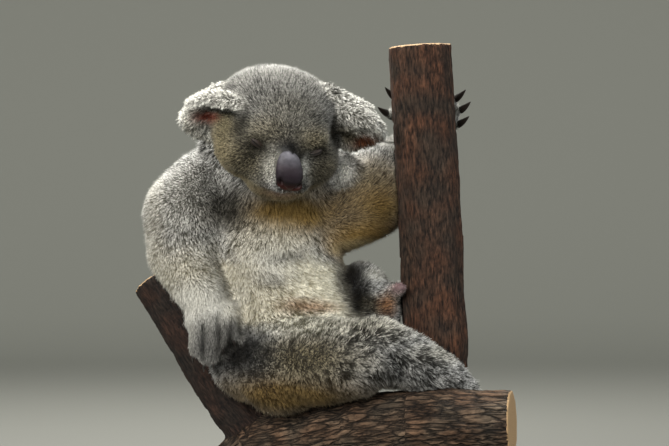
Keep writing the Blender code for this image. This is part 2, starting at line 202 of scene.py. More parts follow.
# %% Helpers for what most of the finishes share
def speckle(material, kind="Noise", **settings):
    """Adds a noise or a cell pattern in the piece's own space."""
    place = add_node(material, "ShaderNodeTexCoord")
    return add_node(material, "ShaderNodeTex" + kind, settings, {"Vector": place.outputs["Object"]})


def remap(material, value, low, high, start=0.0, end=1.0):
    """Stretches a value between start and end to run from low to high."""
    settings = {"From Min": start, "From Max": end, "To Min": low, "To Max": high}
    return add_node(material, "ShaderNodeMapRange", settings, {"Value": value}).outputs["Result"]


def two_tones(material, shader, share, first_code, second_code):
    """Colours the finish between two tones."""
    tone = add_node(material, "ShaderNodeMix", {"data_type": "RGBA"}, {"Factor": share})
    tone.inputs[6].default_value = linear(first_code)
    tone.inputs[7].default_value = linear(second_code)
    wire(material, tone.outputs[2], shader.inputs["Base Color"])


def mottled(material, shader, colour, pattern, share):
    """Colours the finish, and multiplies a share of a pattern's colours in."""
    shade = add_node(material, "ShaderNodeMix", {"data_type": "RGBA", "blend_type": "MULTIPLY"})
    shade.inputs["Factor"].default_value = share
    wire(material, colour, shade.inputs[6])
    wire(material, pattern, shade.inputs[7])
    wire(material, shade.outputs[2], shader.inputs["Base Color"])


def dimmed(material, shader, colour, value):
    """Colours the finish with a colour times a value."""
    shade = add_node(material, "ShaderNodeVectorMath", {"operation": "MULTIPLY"})
    wire(material, colour, shade.inputs[0])
    wire(material, value, shade.inputs[1])
    wire(material, shade.outputs["Vector"], shader.inputs["Base Color"])


def from_one(material, value, share):
    """A value that fades to one where its share is nothing."""
    mixed = add_node(material, "ShaderNodeMix", {"data_type": "FLOAT"}, {"Factor": share})
    mixed.inputs[2].default_value = 1.0
    wire(material, value, mixed.inputs[3])
    return mixed.outputs[0]


def embossed(material, shader, height, strength, distance):
    """Raises the finish by a height, as fine relief."""
    settings = {"Strength": strength, "Distance": distance}
    bump = add_node(material, "ShaderNodeBump", settings, {"Height": height})
    wire(material, bump.outputs["Normal"], shader.inputs["Normal"])
    return bump.outputs["Normal"]


# %% [markdown]
# ## Floor and light
# A plain grey paper that sweeps up behind the animal, as in a small studio.
# The light is a big soft overhead sheet set a little behind, which lights the
# tips of the coat along the crown and shoulders, with a softer one in front.

# %% Build the sweep
bpy.ops.mesh.primitive_plane_add(size=1, location=(0, 0.5, 0))
floor = bpy.context.object
floor.name = "studio_floor"
floor.scale = (40, 9, 1)
bpy.ops.object.transform_apply(location=True, scale=True)
bpy.ops.object.mode_set(mode="EDIT")
plan = bmesh.from_edit_mesh(floor.data)
far_side = max(plan.edges, key=lambda e: (e.verts[0].co + e.verts[1].co).y)
bpy.ops.mesh.select_all(action="DESELECT")
bpy.ops.mesh.select_mode(type="EDGE")
plan.edges.ensure_lookup_table()
far_side.select = True
bmesh.update_edit_mesh(floor.data)
bpy.ops.mesh.extrude_region_move(TRANSFORM_OT_translate={"value": (0, 0, 5)})
bpy.ops.object.mode_set(mode="OBJECT")
modify(floor, "BEVEL", width=2.0, segments=16, limit_method="ANGLE")
floor.data.shade_smooth()

paper, shader = new_material("matt_paper_sweep", Roughness=0.85)
place = add_node(paper, "ShaderNodeTexCoord")
apart = add_node(paper, "ShaderNodeSeparateXYZ", {}, {"Vector": place.outputs["Object"]})
far = remap(paper, apart.outputs["Y"], 0.0, 1.0, -0.5, 3.6)
two_tones(paper, shader, far, "#3f3f3b", "#93938b")
floor.data.materials.append(paper)
floor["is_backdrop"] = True


# %% Hang the lights
def soft_light(name, place, target, size, watts, colour):
    """Adds a square sheet of light that faces the target."""
    bpy.ops.object.light_add(type="AREA", location=place)
    lamp = bpy.context.object
    lamp.name = name
    lamp.rotation_euler = (Vector(target) - Vector(place)).to_track_quat("-Z", "Y").to_euler()
    lamp.data.size = size
    lamp.data.energy = watts
    lamp.data.color = linear(colour)[:3]
    return lamp


top = soft_light("overhead_sheet", (-0.3, 0.75, 2.4), (0, 0, 0.3), 1.5, 66, "#fffefa")
top.data.spread = math.radians(120)
soft_light("front_sheet", (-1.1, -2.5, 1.25), (0, 0, 0.27), 1.6, 96, "#fffdf9")
soft_light("side_sheet", (2.2, -0.9, 1.3), (0, 0, 0.3), 1.4, 20, "#f2f7ff")
world = bpy.data.worlds.new("studio_air")
bpy.context.scene.world = world
world.use_nodes = True
world.node_tree.nodes["Background"].inputs["Color"].default_value = linear("#e4e6e2")
world.node_tree.nodes["Background"].inputs["Strength"].default_value = 0.8
bpy.context.scene.view_settings.view_transform = "Standard"

# %% [markdown]
# ## The skin
# Under the hair a koala has one loose skin. The solids of the body are copied,
# grown by a hair's breadth so that they touch, and melted together by a voxel
# remesh. The skin must then sink below the tips of the coat: deep on the back,
# where hair is long, and hardly at all on the fingers and round the nose.

# %% Copy solids into one mesh
def joined_copy(name, nodes):
    """One new object with the merged meshes of these solids."""
    cast = bmesh.new()
    for node in nodes:
        cast.from_mesh(NODES[node].data)
    bmesh.ops.remove_doubles(cast, verts=cast.verts, dist=0.01 * MM)
    mesh = bpy.data.meshes.new(name)
    cast.to_mesh(mesh)
    cast.free()
    piece = bpy.data.objects.new(name, mesh)
    bpy.context.scene.collection.objects.link(piece)
    return piece


HARD = ("claw_", "perch_", "stand_")
UNDER = sorted(n for n in NODES if not n.startswith(HARD))
FLESH = [n for n in UNDER if not n.startswith(("nose", "eyelid"))]
skin = joined_copy("koala_skin", UNDER)
modify(skin, "DISPLACE", strength=0.5 * MM, mid_level=0)
modify(skin, "REMESH", mode="VOXEL", voxel_size=2.6 * MM)


# %% Keep only the outer shell
def keep_largest_shell(piece):
    """Deletes every loose shell but the largest."""
    work = bmesh.new()
    work.from_mesh(piece.data)
    work.verts.ensure_lookup_table()
    left, shells = set(work.verts), []
    while left:
        shell = waiting = [left.pop()]
        while waiting:
            waiting = [e.other_vert(v) for v in waiting for e in v.link_edges]
            waiting = [v for v in dict.fromkeys(waiting) if v in left]
            left.difference_update(waiting)
            shell = shell + waiting
        shells.append(shell)
    shells.sort(key=len)
    extra = [v for shell in shells[:-1] for v in shell]
    bmesh.ops.delete(work, geom=extra, context="VERTS")
    work.to_mesh(piece.data)
    work.free()
    return len(shells)


print("shells after the melt:", keep_largest_shell(skin))
modify(skin, "SMOOTH", factor=0.5, iterations=7)
print("skin points:", len(skin.data.vertices))


# %% [markdown]
# ## Reading the body
# Each point of the skin is told which part of the body it belongs to. From
# that come the depth of its coat and the length, lie and colour of its hair.
# Values are spread over their neighbours, because no coat changes in a line.


# %% Arrays of the skin
def read_points(mesh):
    """The places of a mesh's points as rows."""
    flat = np.empty(len(mesh.vertices) * 3, np.float32)
    mesh.vertices.foreach_get("co", flat)
    return flat.reshape(-1, 3).astype(float)


def write_points(piece, rows):
    """Moves a piece's points to these places."""
    piece.data.vertices.foreach_set("co", rows.astype(np.float32).ravel())
    piece.data.update()


def read_normals(mesh):
    """The outward directions at a mesh's points as rows."""
    flat = np.empty(len(mesh.vertices) * 3, np.float32)
    mesh.vertex_normals.foreach_get("vector", flat)
    return flat.reshape(-1, 3).astype(float)


def read_edges(mesh):
    """The two ends of each edge as rows."""
    flat = np.empty(len(mesh.edges) * 2, np.int32)
    mesh.edges.foreach_get("vertices", flat)
    return flat.reshape(-1, 2)


def read_corners(mesh):
    """The point at each corner of each face, and the first one of each face."""
    corner_point = np.empty(len(mesh.loops), np.int32)
    mesh.loops.foreach_get("vertex_index", corner_point)
    first = np.empty(len(mesh.polygons), np.int32)
    mesh.polygons.foreach_get("loop_start", first)
    return corner_point, corner_point[first]


def spread(values, edges, times):
    """Averages each point's values with its neighbours', some times over."""
    values = np.asarray(values, float)
    rows = values.reshape(len(values), -1)
    a = np.concatenate([edges[:, 0], edges[:, 1]])
    b = np.concatenate([edges[:, 1], edges[:, 0]])
    count = np.maximum(np.bincount(a, minlength=len(rows)), 1)
    for _ in range(times):
        mean = np.stack([np.bincount(a, col[b], len(rows)) / count for col in rows.T], 1)
        rows = 0.4 * rows + 0.6 * mean
    return rows.reshape(values.shape)


def unit(rows):
    """Rows scaled to a length of one."""
    return rows / np.maximum(np.linalg.norm(rows, axis=-1, keepdims=True), 1e-9)


def noise_at(rows):
    """Smooth noise at each place, from about minus one to one."""
    return np.array([noise.noise(Vector(p)) for p in rows])


outer = read_points(skin.data)
facing = read_normals(skin.data)
edges = read_edges(skin.data)


# %% Find the part under each point
def tree_of(nodes):
    """A search tree over these solids, and the name of each face's solid."""
    verts, faces, owner = [], [], []
    for name in nodes:
        mesh = NODES[name].data
        start = len(verts)
        verts += [v.co.copy() for v in mesh.vertices]
        faces += [[start + i for i in p.vertices] for p in mesh.polygons]
        owner += [name] * len(mesh.polygons)
    return BVHTree.FromPolygons(verts, faces), owner


body_tree, body_owner = tree_of(UNDER)
part = np.array([body_owner[body_tree.find_nearest(Vector(p))[2]] for p in outer])
wood_tree, _ = tree_of(sorted(n for n in NODES if n.startswith("perch_")))
to_wood = np.array([wood_tree.find_nearest(Vector(p))[3] for p in outer])
print("parts found:", len(set(part)))

# %% [markdown]
# ## The coat, part by part
# For each part: how deep the skin lies (mm), how long its tufts are (mm), how
# far they stand up (degrees), how many there are to a square millimetre, how
# wide a clump of them is (mm), and the colours at root and tip. A koala is
# grey with pale tips above, cream below, and golden where the undersides are
# stained by sap and damp.

# %% Table of the coat
ASH = ("#2a2925", "#dddcd7")
PALE_ASH = ("#5e5c53", "#f2f0e8")
CREAM = ("#8f866a", "#f7f1de")
GOLD = ("#4a391f", "#a3864c")
HONEY = ("#6e5526", "#d2ad68")
UMBER = ("#29251a", "#847a5e")
CROWN = ("#1a1915", "#94928c")
BUFF = ("#4a4230", "#a69a7a")
SILVER = ("#6a6860", "#efede4")
COAT = {
    # part: (depth, length, lift, density, clump, colours)
    "head": (5.0, 6.2, 56, 1.6, 1.6, CROWN),
    "jaw": (4.0, 6.5, 36, 1.6, 2.0, BUFF),
    "nose": (1.2, 2.5, 26, 1.8, 1.6, ASH),
    "eyelid": (1.2, 2.0, 20, 1.8, 1.4, UMBER),
    "ear": (4.4, 7.4, 50, 1.5, 2.6, SILVER),
    "neck": (6.0, 9.0, 46, 1.2, 2.5, ASH),
    "chest": (6.0, 10.0, 40, 1.2, 3.2, ASH),
    "belly": (6.0, 10.0, 36, 1.2, 4.4, CREAM),
    "rump": (6.0, 9.5, 42, 1.2, 4.0, ASH),
    "arm": (5.6, 7.4, 54, 1.4, 1.9, ASH),
    "arm_right_forearm": (4.6, 8.5, 42, 1.4, 2.3, PALE_ASH),
    "arm_left_forearm": (4.6, 8.5, 42, 1.4, 2.8, PALE_ASH),
    "hand": (2.6, 9.5, 15, 1.7, 1.6, PALE_ASH),
    "leg": (5.6, 7.2, 54, 1.4, 4.2, ASH),
    "leg_right_shin": (4.4, 6.6, 50, 1.4, 3.2, ASH),
    "leg_left_shin": (4.4, 6.2, 50, 1.4, 2.4, ASH),
    "foot": (1.8, 4.0, 28, 1.6, 2.0, PALE_ASH),
}


def coat_of(name):
    """The row of the table for a solid: its own name, or the start of it."""
    return COAT.get(name) or COAT[name.split("_")[0]]


names, which = np.unique(part, return_inverse=True)
rows = [coat_of(n) for n in names]
depth, length, lift, density, clump = (np.array([r[i] for r in rows], float)[which] for i in range(5))
root, tip = (np.array([paint(r[5][i]) for r in rows])[which] for i in (0, 1))

# %% [markdown]
# ## Places on the head
# The head is turned, so its own directions are set up once: x to the side,
# minus y out of the face, z to the crown. Hair is shortest round the nose and
# grows longer towards the crown and the ruff under the ears.

# %% The head's own directions
HEAD_CENTRE = Vector((-33, -56, 463)) * MM
HEAD_TURN = (
    Matrix.Rotation(math.radians(8), 3, "Y")
    @ Matrix.Rotation(math.radians(16), 3, "Z")
    @ Matrix.Rotation(math.radians(33), 3, "X")
)


def on_head(x, y, z):
    """A place given in the head's own millimetres, in the scene's metres."""
    return HEAD_CENTRE + HEAD_TURN @ (Vector((x, y, z)) * MM)


head_axes = np.array(HEAD_TURN)
local = (outer - np.array(HEAD_CENTRE)) @ head_axes / MM
is_head = np.isin(part, ["head", "jaw", "nose", "eyelid_left", "eyelid_right"])
is_ear = np.char.startswith(part.astype(str), "ear_")
nose_top = np.array([0, -62, -2.0])
from_nose = np.linalg.norm(local - np.array([0, -72, -16.0]), axis=1)
steps = [14, 28, 55, 90, 140]
length = np.where(is_head, np.interp(from_nose, steps, [2.2, 3.4, 5.0, 7.0, 8.5]), length)
depth = np.where(is_head, np.interp(from_nose, steps, [0.9, 1.6, 3.0, 4.6, 5.6]), depth)
density = np.where(is_head, np.interp(from_nose, steps, [3.2, 2.8, 2.3, 1.7, 1.4]), density)
FINGERS_BELOW_MM, FINGERS_AHEAD_MM = 240, 46
fingers = ((part == "hand_right") * np.clip((FINGERS_BELOW_MM - outer[:, 2] / MM) / 14, 0, 1)
           + (part == "hand_left") * np.clip((FINGERS_AHEAD_MM - outer[:, 1] / MM) / 10, 0, 1))
length *= 1 - 0.45 * fingers
print("points on the head:", int(is_head.sum()))

# %% [markdown]
# ## Sinking the skin
# The depth of the coat becomes a vertex group, and one Displace modifier moves
# the skin inwards by it. Close to the wood the coat is pressed flat, so the
# skin stays nearer to the solid there.

# %% Sink the skin below the coat
pressed = np.clip(1 - to_wood / (9 * MM), 0, 1)
depth = spread(depth, edges, 14) * (1 - 0.55 * pressed)
DEEPEST = 10.0
group = skin.vertex_groups.new(name="coat_depth")
for step in range(101):
    share = np.flatnonzero(np.round(depth / DEEPEST * 100).clip(0, 100) == step)
    if len(share):
        group.add(share.tolist(), step / 100, "REPLACE")
modify(skin, "DISPLACE", strength=-DEEPEST * MM, mid_level=0, vertex_group="coat_depth")
modify(skin, "SMOOTH", factor=0.4, iterations=3)
inner = read_points(skin.data)
print("mean sink in mm:", round(float(np.linalg.norm(outer - inner, axis=1).mean()) / MM, 2))


# %% [markdown]
# ## Folds
# Loose skin folds where the body bends: at the mouth, over the belly, between
# the fingers and at the knee. Each fold is a short path, and the skin near it
# is drawn inwards along its own normal.


# %% Make room for the nose
PAD_MIDDLE, PAD_HALF, PAD_POWER = (2.6, -12.8), (16.0, 23.4), 2.8
beside = np.abs(local[:, 0] - PAD_MIDDLE[0] + 0.2 * (local[:, 2] - PAD_MIDDLE[1])) / PAD_HALF[0]
above = np.abs(local[:, 2] - PAD_MIDDLE[1]) / PAD_HALF[1]
on_pad = (beside**PAD_POWER + above**PAD_POWER) ** (1 / PAD_POWER)
on_muzzle = is_head & (local[:, 1] < -60)
under_pad = np.clip((1.08 - on_pad) / 0.12, 0, 1) * on_muzzle
print("points under the nose pad:", int((under_pad > 0.5).sum()))


# %% Press the folds
def from_path(points, path):
    """Each point's distance in mm to a path of straight runs."""
    best = np.full(len(points), 1e9)
    for a, b in zip(path[:-1], path[1:]):
        run = b - a
        t = np.clip(((points - a) @ run) / (run @ run), 0, 1)
        best = np.minimum(best, np.linalg.norm(points - (a + t[:, None] * run), axis=1))
    return best / MM


def world_path(*places):
    """A path through places in millimetres."""
    return np.array(places, float) * MM


def head_path(*places):
    """A path through places in the head's own millimetres."""
    return np.array([on_head(*p) for p in places])


FOLDS = [
    # path, depth in mm, half width in mm, only on
    (head_path((-14, -80, -40), (2, -88, -41), (12, -86, -38), (20, -80, -29), (27, -70, -20)),
     2.4, 2.4, "head"),
    (world_path((-92, -60, 318), (-50, -76, 312), (-8, -62, 316)), 2.4, 5.0, "body"),
    (world_path((-96, -58, 292), (-50, -74, 284), (0, -60, 290)), 2.8, 6.0, "body"),
    (world_path((-119, -69, 240), (-120, -68, 194)), 3.4, 3.2, "body"),
    (world_path((-102, -69, 246), (-102, -69, 200)), 3.4, 3.2, "body"),
    (world_path((-90, -68, 250), (-89, -72, 216)), 3.6, 3.4, "body"),
    (world_path((62, -150, 232), (78, -148, 214), (96, -138, 196), (104, -126, 184)), 4.0, 6.0, "body"),
]
facing = read_normals(skin.data)
inner -= facing * (np.clip((1.05 - on_pad) / 0.25, 0, 1) * on_muzzle * 5.0 * MM)[:, None]
fold = np.zeros(len(inner))
for path, deep, wide, where in FOLDS:
    allowed = is_head if where == "head" else ~is_head
    near = np.exp(-((from_path(outer, path) / wide) ** 2)) * allowed
    fold = np.maximum(fold, near)
    inner -= facing * (near * deep * MM)[:, None]
write_points(skin, inner)
facing = read_normals(skin.data)
print("points in folds:", int((fold > 0.3).sum()))

# %% [markdown]
# ## Markings
# Patches of colour are laid one over another like washes, each with a middle, three half-widths in
# millimetres, and colours at root and tip. The same washes colour the skin and every tuft that grows from it.
# Besides the coat's own markings, some washes are painted shade, in the armpit, eye hollows, temples, finger
# gaps, inside the left leg and beside the hand, and some are painted light, on the shoulder, the top of the
# thigh and the rims of the left arm and leg.

# %% Table of the markings
SNOW = ("#9c998d", "#f6f4ea")
MILK = ("#b8b094", "#fffbe8")
# Pale grizzle that also stands for painted light on the top of the thigh.
SALT_AND_TOP_LIGHT = ("#6a6652", "#fffbea")
# Pale golden tones for painted rim light along the underside of the left arm.
PAINTED_RIM_LIGHT = ("#857049", "#eed9a4")
SHADE = ("#11100c", "#3b382f")
TAN = ("#352e1c", "#c0b188")
FROST = ("#1f1c12", "#f7f1de")
TUFT = ("#d8d5ca", "#fffdf6")
JOWL = ("#66543f", "#c6ad89")
FLUSH = ("#6f2f20", "#8a4f3e")
FLUSH_DEEP = ("#552c18", "#744a2e")
RUST = ("#5a3920", "#a9794b")
BRONZE = ("#382b16", "#8b7240")
# Near-black wash: painted shade in gaps, hollows and beside the hand, and the black fur above the nose.
DEEP_SHADE_AND_BLACK_FUR = ("#070604", "#1b1813")
LIP = ("#8c7262", "#d2bbaa")
FINGER = ("#393835", "#8d8b86")
MAUVE = ("#7d6062", "#a58889")
BODY_WASHES = [
    # name, middle, half-widths, colours, strength
    ("loins", (-30, 100, 280), (150, 78, 84), ASH, 1.0),
    # Pale grey fur, made paler still as painted light where the shoulder lies in shade.
    ("shoulder", (-138, -30, 366), (56, 64, 50), PALE_ASH, 1.0),
    ("bib", (-20, -60, 364), (78, 50, 28), BRONZE, 1.0),
    ("bib_middle", (-16, -70, 356), (54, 40, 16), HONEY, 0.3),
    ("chest_cream", (-42, -70, 326), (58, 46, 24), CREAM, 0.7),
    ("chest_side", (-70, -58, 338), (26, 32, 20), FROST, 0.5),
    ("belly_white", (-40, -80, 296), (56, 46, 34), SNOW, 0.85),
    ("belly_low", (-20, -80, 262), (60, 44, 22), CREAM, 0.9),
    ("belly_stain", (-6, -74, 258), (30, 30, 10), RUST, 0.75),
    ("belly_right", (-78, -60, 280), (22, 50, 40), CREAM, 0.5),
    ("belly_side", (8, -64, 290), (34, 36, 22), MILK, 0.95),
    # Painted shade in the armpit.
    ("armpit", (-94, -44, 372), (26, 34, 26), SHADE, 0.9),
    ("left_arm_under", (62, -5, 368), (64, 44, 48), GOLD, 1.0),
    # Golden stained fur on the arm's lower edge, made paler as painted light where it sits in shade.
    ("left_arm_edge", (56, -6, 330), (46, 48, 18), HONEY, 1.0),
    # Painted rim light: a pale golden band along the lower rim of the left arm.
    ("left_arm_rim", (54, 6, 322), (46, 46, 7), PAINTED_RIM_LIGHT, 0.9),
    ("left_arm_top", (66, -20, 404), (30, 30, 16), UMBER, 0.45),
    ("left_arm_shadow", (30, -31, 390), (16, 24, 14), SHADE, 0.6),
    ("neck_tuft", (37, -32, 411), (14, 28, 17), TUFT, 1.0),
    ("right_arm_low", (-138, -30, 290), (44, 50, 30), CREAM, 0.75),
    ("right_arm_edge", (-176, 10, 320), (16, 50, 70), CREAM, 0.6),
    ("thigh_under", (-20, -90, 156), (100, 74, 26), GOLD, 0.95),
    ("thigh_middle", (4, -114, 200), (66, 44, 26), TAN, 0.85),
    ("seat", (-60, 0, 142), (90, 80, 26), GOLD, 0.7),
    # Painted shade on the thigh beside and under the hand.
    ("thigh_left_end_shade", (-82, -62, 204), (40, 46, 30), DEEP_SHADE_AND_BLACK_FUR, 0.97),
    # Grizzled pale fur with painted light on the top of the thigh.
    ("thigh_top", (0, -92, 240), (80, 40, 13), SALT_AND_TOP_LIGHT, 0.95),
    ("knee_top", (66, -120, 236), (48, 44, 16), FROST, 0.8),
    ("shin_top", (130, -95, 206), (46, 40, 12), FROST, 0.6),
    ("wrist", (-122, -60, 268), (38, 34, 20), SNOW, 0.9),
    ("hand_edge", (-137, -58, 226), (6, 26, 30), SNOW, 0.8),
    ("hand_fingers", (-110, -66, 212), (34, 24, 28), FINGER, 0.95),
    ("hand_thumb", (-86, -66, 232), (12, 24, 16), FINGER, 0.9),
    # Painted shade in the gaps between the fingers and the thumbs.
    ("finger_gap_shade", (-120, -70, 216), (3, 16, 20), DEEP_SHADE_AND_BLACK_FUR, 1.0),
    ("palm_gap_shade", (-102, -70, 226), (3.5, 16, 24), DEEP_SHADE_AND_BLACK_FUR, 1.0),
    ("thumb_gap_shade", (-89, -70, 224), (5, 18, 20), DEEP_SHADE_AND_BLACK_FUR, 1.0),
    # Painted shadow inside the left leg and in its fold.
    ("left_leg_inner_shadow", (45, -34, 290), (18, 44, 24), DEEP_SHADE_AND_BLACK_FUR, 1.0),
    ("left_leg_fold_shade", (52, -38, 262), (16, 44, 22), DEEP_SHADE_AND_BLACK_FUR, 1.0),
    # Painted rim light: a pale band along the upper edge of the left leg.
    ("left_leg_top", (79, -22, 291), (16, 26, 8), SNOW, 0.9),
    ("left_leg_low", (72, -38, 254), (14, 30, 12), UMBER, 0.8),
    ("left_heel", (88, -34, 255), (12, 26, 14), RUST, 0.9),
    ("left_toe", (103, -32, 276), (13, 14, 9), MAUVE, 1.0),
    ("rump_spots", (-30, 96, 190), (60, 30, 50), SNOW, 0.5),
]
HEAD_WASHES = [
    ("back_of_head", (0, 80, 6), (100, 44, 90), ASH, 0.8),
    ("brow_left", (30, -60, 14), (24, 22, 14), TAN, 0.55),
    ("brow_right", (-28, -60, 18), (22, 22, 13), TAN, 0.3),
    ("forehead", (2, -50, 36), (34, 30, 24), TAN, 0.12),
    ("muzzle_side_right", (-18, -74, -12), (8, 18, 17), SNOW, 0.9),
    ("muzzle_side_left", (21, -72, -13), (7, 18, 14), SNOW, 0.95),
    # Black fur above and beside the nose, with painted shade in the fold over the nose.
    ("above_nose_fur_and_shade", (-1, -74, 12), (14, 14, 6), DEEP_SHADE_AND_BLACK_FUR, 1.0),
    ("beside_nose_fur_and_shade", (14, -70, 4), (6, 14, 7), DEEP_SHADE_AND_BLACK_FUR, 0.9),
    ("chin", (2, -82, -48), (28, 24, 10), JOWL, 0.9),
    ("lip", (0, -86, -42), (14, 14, 4), LIP, 0.95),
    # Olive-grey cheek fur, darkened further as painted shade over the face.
    ("cheek_olive_and_shade_right", (-44, -54, -20), (26, 34, 32), UMBER, 0.8),
    ("cheek_olive_and_shade_left", (48, -55, -22), (22, 30, 28), UMBER, 0.7),
    ("cheek_edge_right", (-68, -34, -32), (14, 40, 34), BUFF, 0.95),
    ("jaw_edge", (-26, -44, -64), (56, 36, 12), BUFF, 0.9),
    # Painted shade in the eye hollows.
    ("eye_hollow_shade_right", (-32, -58, -2), (18, 16, 9), SHADE, 0.85),
    ("eye_hollow_shade_left", (37, -54, 0), (18, 16, 9), SHADE, 0.8),
    # Olive-brown fur under the right ear, with painted shade.
    ("temple_olive_and_shade_right", (-66, -16, -4), (17, 24, 16), UMBER, 0.9),
    ("temple_shade_right", (-53, -36, 12), (9, 18, 17), SHADE, 0.9),
    # Painted shade in the hollow between the left ear and the face.
    ("temple_shade_left", (60, -20, 8), (11, 24, 26), SHADE, 0.95),
]


CALM = (SNOW, MILK, PAINTED_RIM_LIGHT, CREAM, GOLD, HONEY, BRONZE, BUFF, TAN, DEEP_SHADE_AND_BLACK_FUR, FINGER)
calm = np.where(np.char.startswith(part.astype(str), "hand"), 0.9, 0.0)
calm[np.isin(part, ["belly", "jaw"])] = 0.7


def wash(points, middle, half, strength):
    """How much of a wash each point takes, fading softly at its edge."""
    away = np.linalg.norm((points - np.array(middle)) / np.array(half), axis=1)
    return np.clip(1.45 - away, 0, 1) * strength


def lay(share, colours):
    """Lays a wash of two colours over the roots and the tips."""
    for values, code in zip((root, tip), colours):
        values += (paint(code) - values) * share[:, None]


points_mm = outer / MM
on_hand = np.char.startswith(part.astype(str), "hand")
for name, middle, half, colours, strength in BODY_WASHES:
    allowed = ~(is_head | is_ear)
    if name.startswith("hand_"):
        allowed &= on_hand
    elif name.startswith("thigh_"):
        allowed &= ~on_hand
    share = wash(points_mm, middle, half, strength) * allowed
    lay(share, colours)
    calm += ((0.85 if colours in CALM else 0.0) - calm) * share
for name, middle, half, colours, strength in HEAD_WASHES:
    lay(wash(local, middle, half, strength) * is_head, colours)
print("washes:", len(BODY_WASHES) + len(HEAD_WASHES))

# %% [markdown]
# ## Ears
# A koala's ear is a round cup that hangs open to the front and below. Its back
# goes on from the crown, the rim carries a long white fringe, and the bare
# lining shows between the hairs. Its patches are washed on like the others.

# %% Dress the ears
EAR_WASHES = [
    # solid, name, middle, half-widths, colours, strength, how bare
    ("ear_right", "fringe", (-142, -44, 462), (22, 40, 24), SNOW, 0.9, 0),
    ("ear_right", "rear_rim", (-114, -26, 448), (26, 18, 12), SNOW, 0.8, 0),
    ("ear_right", "front_rim", (-104, -88, 474), (34, 16, 8), SILVER, 0.6, 0),
    ("ear_right", "lining", (-112, -62, 468), (15, 18, 7), FLUSH, 1.0, 1.0),
    ("ear_right", "inner_hair", (-98, -52, 462), (12, 20, 12), UMBER, 0.9, 0),
    ("ear_left", "fringe", (88, -44, 448), (22, 40, 20), SNOW, 0.85, 0),
    ("ear_left", "front_rim", (58, -70, 458), (28, 14, 8), SILVER, 0.6, 0),
    ("ear_left", "rear_rim", (52, -26, 428), (30, 20, 8), UMBER, 0.7, 0.3),
    ("ear_left", "root_shade", (30, -58, 456), (8, 26, 18), SHADE, 0.9, 0),
    ("ear_left", "lining", (60, -44, 441), (19, 22, 9), FLUSH_DEEP, 1.0, 0.9),
    ("ear_left", "inner_hair", (40, -44, 450), (12, 22, 12), UMBER, 0.9, 0),
]
EAR_ROOTS = {"ear_right": (-66, -50, 494), "ear_left": (16, -46, 488)}
TOE = (103, -34, 277)
SEAT = (-44, -66, 138)
bare = np.clip(1.6 - np.linalg.norm((outer / MM - np.array(TOE)) / (11, 11, 8), axis=1), 0, 1) * 0.8
bare = np.maximum(bare, 1.25 * under_pad)
for node, name, middle, half, colours, strength, nude in EAR_WASHES:
    share = wash(points_mm, middle, half, strength) * ((part == node) | (is_head & (name == "lining")))
    lay(share, colours)
    bare = np.maximum(bare, share * nude)
    if name == "fringe":
        length += 4.5 * share
length += 4.0 * wash(points_mm, SEAT, (28, 28, 10), 1.0)
ear_lie = np.zeros_like(outer)
for node, base in EAR_ROOTS.items():
    spoke = unit(points_mm - np.array(base))
    ear_lie += (spoke * 0.9 + np.array([0, -0.1, -0.35])) * (part == node)[:, None]
print("points of bare lining:", int((bare > 0.4).sum()))

# %% [markdown]
# ## The lie of the coat
# Hair runs away from the nose over the head, down the trunk of the body, and
# along each limb to its fingers or toes. For the limbs the way is simply from
# the middle of one solid to the middle of the next.


# %% Directions of the hair
def middle_of(node):
    """The mean place of a solid's points."""
    return read_points(NODES[node].data).mean(0)


def way(*nodes):
    """The direction from one solid's middle to another's."""
    return unit(middle_of(nodes[1]) - middle_of(nodes[0]))


LIE = {
    "neck": (0, 0.1, -1.0),
    "chest": (0, 0, -1.0),
    "belly": (0.8, 0, -0.6),
    "rump": (0, 0.1, -1.0),
    "arm_right_upper": way("arm_right_upper", "arm_right_forearm"),
    "arm_right_forearm": way("arm_right_forearm", "hand_right"),
    "hand_right": (0.05, -0.1, -1.0),
    "arm_left_upper": way("arm_left_upper", "arm_left_forearm"),
    "arm_left_forearm": way("arm_left_forearm", "hand_left"),
    "hand_left": (0.1, -0.5, 0.8),
    "leg_right_thigh": way("leg_right_thigh", "leg_right_shin"),
    "leg_right_shin": way("leg_right_shin", "foot_right"),
    "foot_right": (0, -0.3, -1.0),
    "leg_left_thigh": way("leg_left_thigh", "leg_left_shin"),
    "leg_left_shin": way("leg_left_shin", "foot_left"),
    "foot_left": (0.9, 0.6, 0.1),
}
lie = ear_lie.copy()
for name, direction in LIE.items():
    lie[part == name] = direction
from_bridge = unit(local - nose_top) @ head_axes.T
lie[is_head] = from_bridge[is_head] + np.array([0, 0.1, -0.25])
lie = spread(unit(lie), edges, 24)
lie = unit(lie - facing * np.sum(lie * facing, axis=1)[:, None])
print("parts with a lie of their own:", len(LIE))

# %% Soften every value over the skin
length = spread(length, edges, 10)
lift = spread(lift, edges, 10)
density = spread(density, edges, 6)
clump = spread(clump, edges, 10)
calm = spread(calm, edges, 8)
# Painted shade: roots and tips are darkened in the folds of the skin.
fold_shade = (1 - 0.75 * fold)[:, None]
root, tip = root * fold_shade, tip * fold_shade
root = spread(root, edges, 3)
tip = spread(tip, edges, 3)

# %% [markdown]
# ## Clumps and pepper
# A live coat isn't combed: neighbouring tufts lean together in clumps a few
# millimetres wide, and its grey is a mix of dark and pale. Smooth noise over
# the skin gives both, so that no two patches repeat. On the legs the wool
# also curls, so its clumps swirl more.

